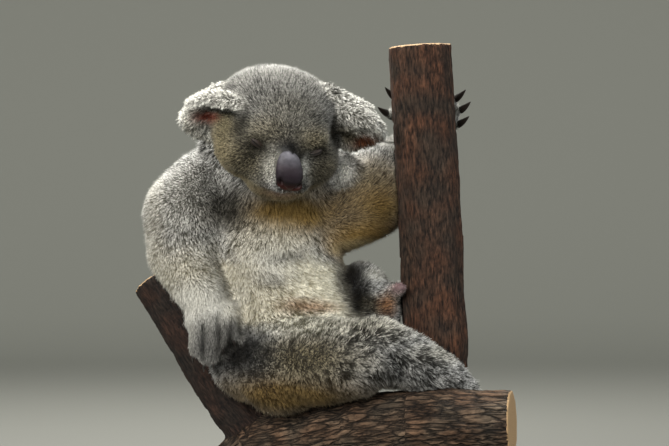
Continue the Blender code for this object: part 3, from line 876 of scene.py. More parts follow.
# %% Noise over the skin
CLUMP_MM = 9.0
swirl = np.array([noise.noise_vector(Vector(p) / CLUMP_MM) for p in points_mm])
broad = noise_at(points_mm / 24.0) + 0.8 * noise_at(points_mm / 8.0)
woolly = np.char.startswith(part.astype(str), "leg_") * 1.0
curl = spread(0.4 + 0.4 * woolly - 0.25 * np.char.startswith(part.astype(str), "hand"), edges, 8)
swirl *= curl[:, None]
broad *= spread(0.8 + 1.2 * woolly, edges, 8)
print("noise spans:", round(float(broad.min()), 2), round(float(broad.max()), 2))

# %% [markdown]
# ## Skin material
# Koala skin is grey to pink and slightly moist, but under this coat only its
# shade is seen. It takes the root colours, darkened as hair shades it, and is
# bare in the ear cups. Fine noise stands for the down that grows on it.


# %% Store colours and finish the skin
def store_colour(mesh, name, values):
    """Writes linear colours to the mesh's points."""
    rows = np.ones((len(values), 4), np.float32)
    rows[:, : values.shape[1]] = values
    mesh.color_attributes.new(name, "FLOAT_COLOR", "POINT").data.foreach_set("color", rows.ravel())


hide = root * (0.55 + 0.45 * bare.clip(0, 1))[:, None]
store_colour(skin.data, "coat_colour", hide)
skin_hide, shader = new_material("grey_koala_skin_under_down", Roughness=0.7)
marks = add_node(skin_hide, "ShaderNodeAttribute", {"attribute_name": "coat_colour"})
down = speckle(skin_hide, Scale=900.0, Detail=2.0)
mottled(skin_hide, shader, marks.outputs["Color"], down.outputs["Color"], 0.5)
embossed(skin_hide, shader, down.outputs["Fac"], 0.4, 0.0006)

# %% [markdown]
# ## Flattening the skin
# For its colours to be baked later, the skin is unwrapped flat. Each region of
# the coat also gets a flat plan of its own, and every tuft will be a tiny
# patch on that plan at the place of its root.

# %% Unwrap the whole skin and each region
REGIONS = {
    "head": ("head", "jaw", "nose", "eyelid_left", "eyelid_right"),
    "ears": ("ear_left", "ear_right"),
    "chest": ("neck", "chest"),
    "belly": ("belly", "rump"),
    "arm_right": ("arm_right_upper", "arm_right_forearm", "hand_right"),
    "arm_left": ("arm_left_upper", "arm_left_forearm", "hand_left"),
    "leg_right": ("leg_right_thigh", "leg_right_shin", "foot_right"),
    "leg_left": ("leg_left_thigh", "leg_left_shin", "foot_left"),
}
region_names = list(REGIONS)
region_of_part = {p: i for i, r in enumerate(REGIONS.values()) for p in r}
point_region = np.array([region_of_part[p] for p in names])[which]
corner_point, first_point = read_corners(skin.data)
face_region = point_region[first_point]


def unwrap(piece, layer, chosen):
    """Unwraps the chosen faces to fill the unit square of a UV map."""
    piece.data.uv_layers.active = piece.data.uv_layers.get(layer) or piece.data.uv_layers.new(name=layer)
    piece.data.polygons.foreach_set("select", chosen)
    pick(piece)
    bpy.ops.object.mode_set(mode="EDIT")
    bpy.ops.uv.smart_project(angle_limit=1.15, island_margin=0.004, scale_to_bounds=True)
    bpy.ops.object.mode_set(mode="OBJECT")


bpy.context.scene.tool_settings.use_uv_select_sync = False
pick(skin)
bpy.ops.object.mode_set(mode="EDIT")
bpy.ops.mesh.select_mode(type="FACE")
bpy.ops.object.mode_set(mode="OBJECT")
unwrap(skin, "OFBake", np.ones(len(face_region), bool))
for index in range(len(region_names)):
    unwrap(skin, "coat_plan", face_region == index)
print("regions unwrapped:", len(region_names))

# %% [markdown]
# ## Coat material
# Koala hair is wool-like and matt, with a faint silky edge against the light.
# Every tuft carries its own colour from root to tip, so the material only adds
# a fine speckle, high roughness and a little sheen.

# %% Make the fur material
fur, shader = new_material("woolly_koala_fur", Roughness=0.75, Specular_IOR_Level=0.12,
                           Sheen_Weight=0.08, Sheen_Roughness=0.45)
shader.inputs["Sheen Tint"].default_value = linear("#f4f1e6")
hair = add_node(fur, "ShaderNodeAttribute", {"attribute_name": "coat_colour"})
speck = speckle(fur, Scale=420.0, Detail=2.0, Roughness=0.6)
span = remap(fur, speck.outputs["Fac"], 0.35, 1.7, 0.36, 0.64)
dimmed(fur, shader, hair.outputs["Color"], from_one(fur, span, hair.outputs["Alpha"]))

# %% [markdown]
# ## Growing the tufts
# A tuft is a thin three-sided spike. Roots are dealt out over the skin in proportion to area and density,
# each leans along the lie of the coat, and the long ones on the ears bend. They are written straight into
# meshes from arrays, because there are hundreds of thousands of them.

# %% Triangles of the skin for dealing out roots
skin.data.calc_loop_triangles()
count = len(skin.data.loop_triangles)
corner = np.empty(count * 3, np.int32)
skin.data.loop_triangles.foreach_get("loops", corner)
corner = corner.reshape(-1, 3)
tri = corner_point[corner]
plan_uv = np.empty(len(skin.data.loops) * 2, np.float32)
skin.data.uv_layers["coat_plan"].data.foreach_get("uv", plan_uv)
plan_uv = plan_uv.reshape(-1, 2)[corner]
cross = np.cross(inner[tri[:, 1]] - inner[tri[:, 0]], inner[tri[:, 2]] - inner[tri[:, 0]])
area = np.linalg.norm(cross, axis=1) / 2 / MM**2
owner_face = np.empty(count, np.int32)
skin.data.loop_triangles.foreach_get("polygon_index", owner_face)
tri_region = face_region[owner_face]
thin = 1 - 0.8 * np.clip(bare[tri].mean(1), 0, 1.25)
wanted = area * density[tri].mean(1) * thin
print("skin area in square cm:", round(float(area.sum()) / 100))
for index, name in enumerate(region_names):
    on = tri_region == index
    print(f"  {name}: {area[on].sum() / 100:.0f} square cm, {wanted[on].sum():.0f} tufts wanted")


# %% Deal out roots
def deal(index, tufts):
    """Picks triangles and places in them for the roots of one region."""
    on = np.flatnonzero(tri_region == index)
    total = np.cumsum(wanted[on])
    marks = (np.arange(tufts) + chance.random(tufts)) / tufts * total[-1]
    chosen = on[np.searchsorted(total, marks).clip(0, len(on) - 1)]
    a, b = chance.random((2, tufts))
    over = a + b > 1
    a[over], b[over] = 1 - a[over], 1 - b[over]
    return chosen, np.stack([1 - a - b, a, b], 1)


def blend(values, chosen, weights):
    """Values of the skin's points at places inside its triangles."""
    picked = values[tri[chosen]]
    if picked.ndim == 2:
        return (picked * weights).sum(1)
    return (picked * weights[:, :, None]).sum(1)


# %% Gather tufts in clumps
def gather(start, end, share):
    """Picks a leader for each clump and gives every tuft its nearest one."""
    leaders = np.flatnonzero(chance.random(len(start)) < share)
    tree = KDTree(len(leaders))
    for i, leader in enumerate(leaders):
        tree.insert(start[leader], i)
    tree.balance()
    mine = np.array([tree.find(p)[1] for p in start])
    away = np.linalg.norm(start - start[leaders[mine]], axis=1)
    return mine, away, end[leaders[mine]], len(leaders)


# %% Comb the tufts
def comb(index, size, start, up, here):
    """How far and which way each tuft points, its clump, how many clumps there
    are, and how near it is to its clump's edge."""
    tufts = len(start)
    flow = here(lie) + here(swirl) + chance.normal(0, 0.16, (tufts, 3))
    flow = unit(flow - up * np.sum(flow * up, axis=1)[:, None])
    press = here(pressed)
    rise = np.radians(here(lift) + chance.normal(0, 7, tufts))
    rise = np.clip(rise * (1 - 0.6 * press), 0.1, 1.3)[:, None]
    long = here(length) * size * chance.uniform(0.72, 1.25, tufts) * (1 - 0.35 * press)
    lean = (flow * np.cos(rise) + up * np.sin(rise)) * (long * MM)[:, None]
    width_mm = here(clump)
    packed = tufts / wanted[tri_region == index].sum()
    crowd = here(density) * packed
    clump_of, away, goal, clumps = gather(start, start + lean, 1 / (crowd * width_mm**2))
    pull = 0.6 * np.exp(-((away / (width_mm * MM)) ** 2))[:, None]
    lean += (goal - start - lean) * pull
    edge = np.clip(away / (0.6 * width_mm * MM), 0, 1.5) - 0.6
    return lean, clump_of, clumps, edge


# %% Shape the tufts
SIDES = 3
BURIED_MM = 0.6
THICKNESS_MM = ((2, 6, 10, 16), (0.26, 0.40, 0.52, 0.66))


def spikes(base, start, up, lean, long, width, bent):
    """The points of every tuft, root ring first and tip last, and its faces."""
    side = unit(np.cross(lean, up))
    third = np.cross(side, lean)
    thick = (np.interp(long[:, 0] / MM, *THICKNESS_MM) * width * MM)[:, None]
    levels = [(base, thick)]
    if bent:
        levels.append((start + lean * long * 0.5 + up * long * 0.07, thick * 0.8))
    points = []
    for centre, radius in levels:
        for k in range(SIDES):
            turn = 2 * math.pi * k / SIDES
            points.append(centre + (side * math.cos(turn) + third * math.sin(turn)) * radius)
    points.append(start + lean * long - (up * long * 0.10 if bent else 0))
    pairs = [(k, (k + 1) % SIDES) for k in range(SIDES)]
    faces = []
    if bent:
        faces = [f for a, b in pairs for f in ((a, b + SIDES, b), (a, a + SIDES, b + SIDES))]
    top = (len(levels) - 1) * SIDES
    faces += [(top + a, len(points) - 1, top + b) for a, b in pairs]
    return np.stack(points, 1), np.array(faces)


# %% Write tufts into a mesh
PATCH = 0.003


def grow(name, index, tufts, bent, size=1.0, width=1.0, glow=0.0):
    """Makes one piece of the coat with this many tufts."""
    chosen, weights = deal(index, tufts)

    def here(values):
        """Values of the skin at the roots."""
        return blend(values, chosen, weights)

    start, up = here(inner), unit(here(facing))
    base = start - up * (BURIED_MM * MM)
    lean, clump_of, clumps, edge = comb(index, size, start, up, here)
    long = np.linalg.norm(lean, axis=1, keepdims=True)
    lean = unit(lean)
    cloud, faces = spikes(base, start, up, lean, long, width, bent)
    points = cloud.shape[1]
    every = (np.arange(tufts)[:, None, None] * points + faces[None]).reshape(-1)
    mesh = bpy.data.meshes.new(name)
    mesh.vertices.add(tufts * points)
    mesh.vertices.foreach_set("co", cloud.astype(np.float32).ravel())
    mesh.loops.add(len(every))
    mesh.loops.foreach_set("vertex_index", every.astype(np.int32))
    mesh.polygons.add(len(every) // 3)
    mesh.polygons.foreach_set("loop_start", np.arange(0, len(every), 3, dtype=np.int32))
    mesh.update(calc_edges=True)

    # Root, middle and tip colours, with a pepper of dark and pale tufts.
    pepper = 0.45 * chance.normal(0, 1, tufts) + 0.9 * chance.normal(0, 1, clumps)[clump_of]
    # Tufts at the edge of a clump are darkened as painted shade between clumps.
    pepper += 0.9 * here(broad) + glow - 0.5 * edge
    quiet = here(calm)
    pepper = pepper * (1 - 0.7 * quiet) + 0.4 * quiet
    fade = (0.5 + 0.5 * np.tanh(1.2 * pepper))[:, None]
    deep, pale = here(root), here(tip)
    low = deep * (0.8 + 0.15 * pepper[:, None].clip(-2, 2))
    high = deep * 0.8 + (pale - deep * 0.8) * fade
    heights = [low] * SIDES + ([(low + high) / 2] * SIDES if bent else []) + [high]
    grizzle = np.repeat((1 - 0.8 * quiet).clip(0, 1), points)[:, None]
    shades = np.stack(heights, 1).reshape(-1, 3).clip(0, 1)
    store_colour(mesh, "coat_colour", np.concatenate([shades, grizzle], 1))

    # Each tuft is a small patch at the place of its root on the region's plan.
    plan = (plan_uv[chosen] * weights[:, :, None]).sum(1)
    turns = np.linspace(0, 2 * math.pi, points, endpoint=False)
    spots = np.stack([np.cos(turns), np.sin(turns)], 1) * PATCH / 2
    spots[-1] = 0
    uv = (plan[:, None, :] + spots[faces.reshape(-1)][None]).clip(0, 1)
    mesh.uv_layers.new(name="OFBake").data.foreach_set("uv", uv.astype(np.float32).ravel())

    # Soft shading: a tuft is lit mostly as the body under it.
    own = np.concatenate([cloud[:, :-1] - base[:, None], (cloud[:, -1] - start)[:, None]], 1)
    own = unit(own - lean[:, None] * np.sum(own * lean[:, None], axis=2, keepdims=True))
    own[:, -1] = up
    shading = unit(up[:, None] * 0.62 + own * 0.68).reshape(-1, 3)
    mesh.shade_smooth()
    mesh.normals_split_custom_set_from_vertices(shading.astype(np.float32))
    piece = bpy.data.objects.new(name, mesh)
    bpy.context.scene.collection.objects.link(piece)
    ready(piece, fur, smooth=False)
    return piece


# %% [markdown]
# ## Undercoat and guard hair
# Each region gets a dense undercoat of short straight tufts and a topcoat of longer ones, which bend only on
# the ears. Both stay under two hundred thousand triangles a piece.

# %% Grow the coat
BUDGET = {
    # region: (undercoat tufts, topcoat tufts)
    "head": (60000, 40000),
    "ears": (16000, 9000),
    "chest": (42000, 13000),
    "belly": (54000, 17000),
    "arm_right": (46000, 13000),
    "arm_left": (40000, 12000),
    "leg_right": (62000, 19000),
    "leg_left": (24000, 7000),
}
LONG_AND_BENT = ("ears",)
share = 1.0
coat_triangles = 0
for index, name in enumerate(region_names):
    under, over = BUDGET[name]
    wide = 1.0 / math.sqrt(share)
    pieces = [grow(f"undercoat_{name}", index, int(under * share), False, 0.85, wide, -0.35)]
    pieces.append(grow(f"topcoat_{name}", index, int(over * share), name in LONG_AND_BENT, 1.15, wide, 0.45))
    coat_triangles += sum(triangles(p) for p in pieces)
print("triangles in the coat:", coat_triangles)

skin.data.uv_layers.remove(skin.data.uv_layers["coat_plan"])
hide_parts(*FLESH)
ready(skin, skin_hide)

# %% [markdown]
# ## Nose
# The nose is one egg-shaped pad of bare leather, pebbled like a dog's, with
# two comma-shaped nostrils low on its sides. A sphere is drawn out to the
# pad's outline at each height, so that it lies on the muzzle like a shield,
# and the nostrils are pressed in along short paths.

# %% Outline of the pad
NOSE_RISE = (-35.5, -33, -28, -20, -10, -2, 3, 6, 8)
NOSE_HALF = (0.0, 11.5, 14.8, 15.8, 15.4, 13.6, 11.0, 7.5, 0.0)
NOSE_SIDE = (6.8, 6.4, 5.4, 3.8, 1.8, 0.2, -0.8, -1.4, -1.8)
NOSE_FRONT = (-87, -90.5, -93.5, -94.0, -90.5, -87.0, -84.0, -80.5, -77.0)
NOSE_WRAP = (2.0, 3.0, 4.5, 6.0, 7.0, 7.0, 6.0, 4.0, 2.0)


def pad_at(rise, row):
    """The pad's outline value at a height on the head."""
    return np.interp(rise, NOSE_RISE, row)


def press_paths(piece, presses):
    """Presses narrow paths into a piece: (path, depth mm, half width mm)."""
    place, normal = read_points(piece.data), read_normals(piece.data)
    for path, deep, wide in presses:
        near = np.exp(-((from_path(place, path) / wide) ** 2))
        place -= normal * (near * deep * MM)[:, None]
    write_points(piece, place)


# %% Model the nose
bpy.ops.mesh.primitive_uv_sphere_add(segments=72, ring_count=56, radius=1)
nose = bpy.context.object
nose.name = "nose_leather_pad"
ball = read_points(nose.data)
rise = -13.75 + 21.75 * np.sign(ball[:, 2]) * np.abs(ball[:, 2]) ** 1.25
level = np.maximum(np.hypot(ball[:, 0], ball[:, 1]), 1e-6)
across, ahead = ball[:, 0] / level, -ball[:, 1] / level
egg = np.stack([
    pad_at(rise, NOSE_SIDE) + pad_at(rise, NOSE_HALF) * across,
    pad_at(rise, NOSE_FRONT) + pad_at(rise, NOSE_WRAP) * (1 - np.clip(ahead, 0, 1) ** 0.9)
    + 9 * np.clip(-ahead, 0, 1) * np.minimum(level * 1.5, 1),
    rise,
], 1)
egg = (egg * MM) @ head_axes.T + np.array(HEAD_CENTRE)
write_points(nose, egg)
modify(nose, "REMESH", mode="VOXEL", voxel_size=0.7 * MM)
modify(nose, "SMOOTH", factor=0.5, iterations=10)
press_paths(nose, [
    (head_path((0.5, -95, -30), (-4.0, -95, -26), (-7.5, -91, -20)), 4.2, 2.2),
    (head_path((10.5, -95, -30), (15.0, -93, -26), (17.5, -88, -20)), 4.2, 2.2),
    (head_path((5.2, -92, -40), (5.0, -97, -24)), 1.0, 1.0),
])
modify(nose, "SMOOTH", factor=0.5, iterations=2)
nose_local = (read_points(nose.data) - np.array(HEAD_CENTRE)) @ head_axes / MM
# Leather colour by height: the near-black and red-brown lower bands are the leather's own colour, and the
# pale grey upper bands are a painted sheen from the light above.
leather_and_sheen_bands = [(-36, "#1e0a07"), (-31, "#35110b"), (-27, "#290c09"), (-22, "#0f0708"), (-14, "#1f161d"),
         (-6, "#342d32"), (1, "#4d4a50"), (8, "#66646a")]
stops = np.array([paint(code) for _, code in leather_and_sheen_bands])
shades = np.stack([np.interp(nose_local[:, 2], [b[0] for b in leather_and_sheen_bands], col) for col in stops.T], 1)
store_colour(nose.data, "leather_and_sheen_colour", shades)

# %% Nose material
leather, shader = new_material("bare_nose_leather", Roughness=0.48, Specular_IOR_Level=0.3)
tint = add_node(leather, "ShaderNodeAttribute", {"attribute_name": "leather_and_sheen_colour"})
pebble = speckle(leather, "Voronoi", Scale=900.0, feature="SMOOTH_F1")
blotch = speckle(leather, Scale=160.0, Detail=3.0)
dimmed(leather, shader, tint.outputs["Color"], remap(leather, blotch.outputs["Fac"], 0.7, 1.25, 0.3, 0.7))
embossed(leather, shader, pebble.outputs["Distance"], 0.5, 0.0005)
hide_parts("nose")
ready(nose, leather)

# %% [markdown]
# ## Closed eyes
# The animal sleeps, so each eye is a low dome of lid with a slit that slopes
# down towards the nose. A sphere with its poles at the corners of the eye
# gives meridians that already run along the slit, which is then drawn in.


# %% Model the lids
def closed_lids(node, slope):
    """A pair of closed lids at the place of the lid solid."""
    bpy.ops.mesh.primitive_uv_sphere_add(segments=56, ring_count=36, radius=1)
    piece = bpy.context.object
    piece.name = node.replace("eyelid", "closed_lids")
    piece.rotation_euler = (0, math.pi / 2, 0)
    bpy.ops.object.transform_apply(rotation=True)
    ball = read_points(piece.data)
    off = ball[:, 2] + 0.16 * (1 - ball[:, 0] ** 2)
    front = np.clip(-ball[:, 1] * 1.6, 0, 1) * (1 - np.abs(ball[:, 0]) ** 6)
    slit = np.exp(-((off / 0.22) ** 2)) * front
    brim = np.exp(-(((off - 0.36) / 0.12) ** 2)) * front
    ball[:, 1] += 0.30 * slit - 0.07 * brim
    wrinkle = np.exp(-(((off - 0.55) / 0.07) ** 2)) * front
    ball[:, 1] += 0.09 * wrinkle
    size = np.array([9.5, 5.2, 4.8]) * MM
    tilt = np.array(Matrix.Rotation(math.radians(slope), 3, "Y"))
    middle = read_points(NODES[node].data).mean(0)
    ball = (ball * size) @ tilt.T @ head_axes.T + middle + np.array(HEAD_TURN @ Vector((0, 1.5, 0))) * MM
    write_points(piece, ball)
    # The slit is coloured as the dark lash line with painted shade in its crease, and the wrinkle takes a
    # little painted shade.
    dark = np.clip(slit * 1.3 + 0.25 * wrinkle, 0, 1)[:, None]
    lid, line = paint("#33271f"), paint("#060403")
    store_colour(piece.data, "lid_colour_and_shade", lid + (line - lid) * dark)
    return piece


lid_skin, shader = new_material("thin_lid_skin", Roughness=0.5)
tint = add_node(lid_skin, "ShaderNodeAttribute", {"attribute_name": "lid_colour_and_shade"})
crepe = speckle(lid_skin, Scale=700.0, Detail=3.0)
mottled(lid_skin, shader, tint.outputs["Color"], crepe.outputs["Color"], 0.45)
embossed(lid_skin, shader, crepe.outputs["Fac"], 0.4, 0.0004)
for node, slope in (("eyelid_right", 26), ("eyelid_left", -24)):
    lids = closed_lids(node, slope)
    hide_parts(node)
    ready(lids, lid_skin)

# %% [markdown]
# ## Claws
# A koala's claw is a hook of black horn, deep from back to edge and narrow
# from side to side, so that it bites into bark. Each one starts as a cone on
# the line of its solid, is cut into rings, and is then bent and flattened ring
# by ring towards the wood.


# %% Shape one hook
def hook(node, deep, lift):
    """A curved claw on the line of a claw solid, deep at its root."""
    cloud = read_points(NODES[node].data)
    middle = cloud.mean(0)
    line = np.linalg.svd(cloud - middle)[2][0]
    at = (cloud - middle) @ line
    wide = [np.linalg.norm((cloud - middle)[end] - np.outer(at[end], line), axis=1).mean()
            for end in (at < np.quantile(at, 0.3), at > np.quantile(at, 0.7))]
    if wide[0] < wide[1]:
        line, at = -line, -at
    root_at, tip_at = middle + line * at.min(), middle + line * at.max()
    reach = np.linalg.norm(tip_at - root_at)
    bpy.ops.mesh.primitive_cone_add(vertices=20, radius1=1, radius2=0.02, depth=1, location=(0, 0, 0.5))
    piece = bpy.context.object
    bpy.ops.object.transform_apply(location=True)
    bpy.ops.object.mode_set(mode="EDIT")
    for height in np.linspace(0.1, 0.95, 12):
        bpy.ops.mesh.select_all(action="SELECT")
        bpy.ops.mesh.bisect(plane_co=(0, 0, height), plane_no=(0, 0, 1))
    bpy.ops.object.mode_set(mode="OBJECT")
    spike = read_points(piece.data)
    t = spike[:, 2].clip(0, 1)
    angle = np.arctan2(spike[:, 1], spike[:, 0])
    radius = np.where(np.hypot(spike[:, 0], spike[:, 1]) > 1e-4, (1 - t**1.6) ** 0.8, 0)
    back = np.array(lift, float)
    back = unit(back - line * (back @ line))
    flank = np.cross(line, back)
    spine = root_at + np.outer(t, line) * reach + np.outer(0.22 * t**2, back) * reach
    spike = (spine + np.outer(np.sin(angle) * radius, back) * deep * MM
             + np.outer(np.cos(angle) * radius, flank) * deep * 0.5 * MM)
    write_points(piece, spike)
    pick(piece)
    bpy.ops.object.mode_set(mode="EDIT")
    bpy.ops.mesh.select_all(action="SELECT")
    bpy.ops.mesh.normals_make_consistent(inside=False)
    bpy.ops.object.mode_set(mode="OBJECT")
    return piece


horn, shader = new_material("black_claw_horn", Roughness=0.32)
streak = speckle(horn, Scale=500.0, Detail=4.0, Distortion=1.5)
two_tones(horn, shader, streak.outputs["Fac"], "#14110f", "#2b2520")
embossed(horn, shader, streak.outputs["Fac"], 0.3, 0.0003)
PAWS = {
    # paw: (half depth of a claw at its root in mm, the side it bends to)
    "hand_left": (4.6, (0, 0, 1)),
    "hand_right": (2.8, (0, 1, 0)),
    "foot_left": (2.6, (1, 0, 0)),
    "foot_right": (2.8, (0, 1, 0)),
}
for paw, (deep, side) in PAWS.items():
    nails = sorted(n for n in NODES if n.startswith("claw_" + paw))
    hooks = [hook(n, deep, side) for n in nails]
    claws = pick(*hooks)
    bpy.ops.object.join()
    claws.name = "claws_" + paw
    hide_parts(*nails)
    ready(claws, horn)

# %% [markdown]
# ## The perch
# Three lengths of rough-barked wood meet in a fork. Old bark splits along the
# grain as the trunk swells, so its cracks are long one way and narrow the
# other. Noise that is stretched along each length draws those cracks, presses
# them into the mesh, and colours them darker than the plates between. On the
# branch the old bark also breaks into scales.

# %% Lengths of wood
WOOD = {
    # x, y, z and radius in mm along each length
    "trunk": ((36, -8, 80, 31), (76, -4, 78, 37), (124, -1, 104, 38.5), (145, 0, 168, 38),
              (141, 0, 270, 37.5), (135, 0, 400, 37.5), (126, 0, 552, 37.5)),
    "branch": ((-84, 14, 62, 38), (-50, 4, 86, 43), (0, -20, 98, 43), (52, -54, 113, 42),
               (112, -86, 123, 41), (224, -112, 127, 39.5)),
    "limb": ((-50, 6, 92, 30), (-92, 14, 136, 27), (-137, 36, 204, 25.5), (-186, 62, 279, 24.5)),
}
BARK = {
    # crack spacing mm, stretch, depth mm, crack colour, plate colour, warm patches, crumbs, plates
    "trunk": (5.5, 4.5, 1.8, "#0e0906", "#2f251d", "#40291c", 1.0, 0.15),
    "branch": (8.5, 5.4, 2.4, "#0c0907", "#4c4135", "#4f3c2d", 0.5, 1.0),
    "limb": (5.0, 4.5, 1.8, "#0b0806", "#1f1813", "#291b14", 0.9, 0.2),
}
perch = joined_copy("perch_bark", sorted(n for n in NODES if n.startswith("perch_")))
modify(perch, "DISPLACE", strength=0.5 * MM, mid_level=0)
modify(perch, "REMESH", mode="VOXEL", voxel_size=2.1 * MM)
keep_largest_shell(perch)
modify(perch, "SMOOTH", factor=0.5, iterations=12)
wood = read_points(perch.data) / MM
wood_normal = read_normals(perch.data)


# %% Follow the grain
def along(points, stations):
    """Distance from a length's axis as a share of its radius, place along it,
    and offset from it in directions that turn with the length."""
    best = np.full(len(points), 1e9)
    run_at, offset = np.zeros(len(points)), np.zeros_like(points)
    travelled = 0.0
    for a, b in zip(stations[:-1], stations[1:]):
        start, step = np.array(a[:3], float), np.array(b[:3], float) - np.array(a[:3], float)
        reach = np.linalg.norm(step)
        t = ((points - start) @ step) / reach**2
        held = np.clip(t, 0, 1)
        away = points - (start + held[:, None] * step)
        ratio = np.linalg.norm(away, axis=1) / (a[3] + (b[3] - a[3]) * held)
        closer = ratio < best
        best[closer] = ratio[closer]
        run_at[closer] = (travelled + t * reach)[closer]
        across = unit(np.cross(step, (0, 1, 0)))
        turned = np.stack([across, np.cross(step / reach, across), step / reach])
        offset[closer] = (points - (start + t[:, None] * step))[closer] @ turned.T
        travelled += reach
    return best, run_at, offset, travelled


lengths = {name: along(wood, stations) for name, stations in WOOD.items()}
nearest = np.argmin([lengths[n][0] for n in WOOD], axis=0)
press_in = np.zeros(len(wood))
bark_tone = np.zeros((len(wood), 4))
plates = np.zeros(len(wood))
grain = np.zeros_like(wood)
rings = np.full(len(wood), -1.0)
for index, (name, stations) in enumerate(WOOD.items()):
    on = nearest == index
    _, run_at, offset, whole = (v[on] if hasattr(v, "shape") and v.shape else v for v in lengths[name])
    spacing, stretch, deep, dark, light, warm, crumbs, scaly = BARK[name]
    sample = offset / spacing + index * 7.3
    sample[:, 2] += run_at / (spacing * stretch)
    wide, fine, flake = noise_at(sample), noise_at(sample * 2.7), noise_at(sample * 0.45 + (9, 4, 2))
    crack = np.exp(-((wide / 0.13) ** 2)) * np.clip(0.75 + flake, 0.2, 1)
    small = np.exp(-((fine / 0.12) ** 2))
    if name == "branch":
        # Overlapping flakes: the noise is cut into steps, each with one sharp edge.
        step_up = 2.4 * wide + 1.2 * flake + 0.35 * fine
        crack = (step_up - np.floor(step_up)) ** 3
        small *= 0.4
    last = np.array(stations[-1][:3], float) - np.array(stations[-2][:3], float)
    ending = (run_at > whole - 4.0) & ((wood_normal[on] @ (last / np.linalg.norm(last))) > 0.8)
    inset = deep * crack + 0.35 * deep * small + 0.9 * np.clip(flake, 0, 1)
    press_in[on] = np.where(ending, 0, inset)
    mix = np.clip(1 - 0.7 * crack - 0.3 * small + 0.35 * flake, 0, 1.2)[:, None]
    patch = np.clip(0.5 + 1.2 * noise_at(wood[on] / 26.0), 0, 1)[:, None]
    plate = paint(light) * (1 - patch) + paint(warm) * patch
    bark_tone[on, :3] = paint(dark) * (1 - mix) + plate * mix
    bark_tone[on, 3] = crumbs
    plates[on] = scaly
    grain[on] = sample * spacing
    rings[on] = np.where(ending, np.linalg.norm(offset, axis=1), -1)
wood_edges = read_edges(perch.data)
press_in = spread(press_in, wood_edges, 1)
wood = (wood - wood_normal * press_in[:, None]) * MM
write_points(perch, wood)
store_colour(perch.data, "bark_colour", bark_tone.clip(0, 1))
for name, values, kind, field in (("grain", grain, "FLOAT_VECTOR", "vector"),
                                  ("rings", rings, "FLOAT", "value"), ("plates", plates, "FLOAT", "value")):
    layer = perch.data.attributes.new(name, kind, "POINT")
    layer.data.foreach_set(field, values.astype(np.float32).ravel())
print("points on sawn ends:", int((rings >= 0).sum()))

# %% Bark material
bark, shader = new_material("fissured_eucalypt_bark", Roughness=0.88, Specular_IOR_Level=0.25)
tint = add_node(bark, "ShaderNodeAttribute", {"attribute_name": "bark_colour"})
follow = add_node(bark, "ShaderNodeAttribute", {"attribute_name": "grain"})
scaly = add_node(bark, "ShaderNodeAttribute", {"attribute_name": "plates"})
crumb = add_node(bark, "ShaderNodeTexNoise", {"Scale": 0.42, "Detail": 5.0, "Roughness": 0.72},
                 {"Vector": follow.outputs["Vector"]})
crumbly = from_one(bark, remap(bark, crumb.outputs["Fac"], 0.2, 1.9, 0.38, 0.62), tint.outputs["Alpha"])

# Plates of old bark: cells drawn out along the grain, their edges bent by noise.
bend = add_node(bark, "ShaderNodeTexNoise", {"Scale": 0.16, "Detail": 3.0},
                {"Vector": follow.outputs["Vector"]})
bent = add_node(bark, "ShaderNodeVectorMath", {"operation": "MULTIPLY_ADD"})
bent.inputs[1].default_value = (9, 9, 9)
wire(bark, bend.outputs["Color"], bent.inputs[0])
wire(bark, follow.outputs["Vector"], bent.inputs[2])
rim = add_node(bark, "ShaderNodeTexVoronoi", {"Scale": 0.15, "feature": "DISTANCE_TO_EDGE"},
               {"Vector": bent.outputs["Vector"]})
cell = add_node(bark, "ShaderNodeTexVoronoi", {"Scale": 0.15}, {"Vector": bent.outputs["Vector"]})


def product(a, b):
    """Two values of the bark multiplied."""
    return add_node(bark, "ShaderNodeMath", {"operation": "MULTIPLY"}, {0: a, 1: b}).outputs["Value"]


flat = remap(bark, rim.outputs["Distance"], 0.2, 1.2, 0.0, 0.17)
plate_tone = product(flat, remap(bark, cell.outputs["Color"], 0.7, 1.4))
plated = from_one(bark, plate_tone, scaly.outputs["Fac"])
dimmed(bark, shader, tint.outputs["Color"], product(crumbly, plated))
crumbs_up = embossed(bark, shader, crumb.outputs["Fac"], 0.7, 0.0016)
steps = add_node(bark, "ShaderNodeBump", {"Strength": 1.0, "Distance": 0.0026},
                 {"Height": product(plate_tone, scaly.outputs["Fac"]), "Normal": crumbs_up})
wire(bark, steps.outputs["Normal"], shader.inputs["Normal"])

# %% Sawn ends
sawn, shader = new_material("sawn_end_grain", Roughness=0.75)
ring = add_node(sawn, "ShaderNodeAttribute", {"attribute_name": "rings"})
wobble = speckle(sawn, Scale=60.0, Detail=3.0)
drift = add_node(sawn, "ShaderNodeMath", {"operation": "MULTIPLY_ADD", 1: 6.0}, {0: wobble.outputs["Fac"]})
wire(sawn, ring.outputs["Fac"], drift.inputs[2])
RING_MM = 2.6
turn = add_node(sawn, "ShaderNodeMath", {"operation": "MULTIPLY", 1: 2 * math.pi / RING_MM},
                {0: drift.outputs["Value"]})
wave = add_node(sawn, "ShaderNodeMath", {"operation": "SINE"}, {0: turn.outputs["Value"]})
band = remap(sawn, wave.outputs["Value"], 0.0, 1.0, -1.0, 1.0)
two_tones(sawn, shader, band, "#8d6f4b", "#b4946a")
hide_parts(*sorted(n for n in NODES if n.startswith("perch_")))
ready(perch, bark)
perch.data.materials.append(sawn)
_, first_point = read_corners(perch.data)
perch.data.polygons.foreach_set("material_index", (rings[first_point] >= 0).astype(np.int32))

# %% [markdown]
# ## The stand
# A museum shows such a mount on a plain base: a lacquered board with rounded
# corners, and two brushed steel rods that rise into the wood. The board is a
# cube whose upright edges and then rims are bevelled; each rod is a cylinder
# with a turned collar where it meets the board.

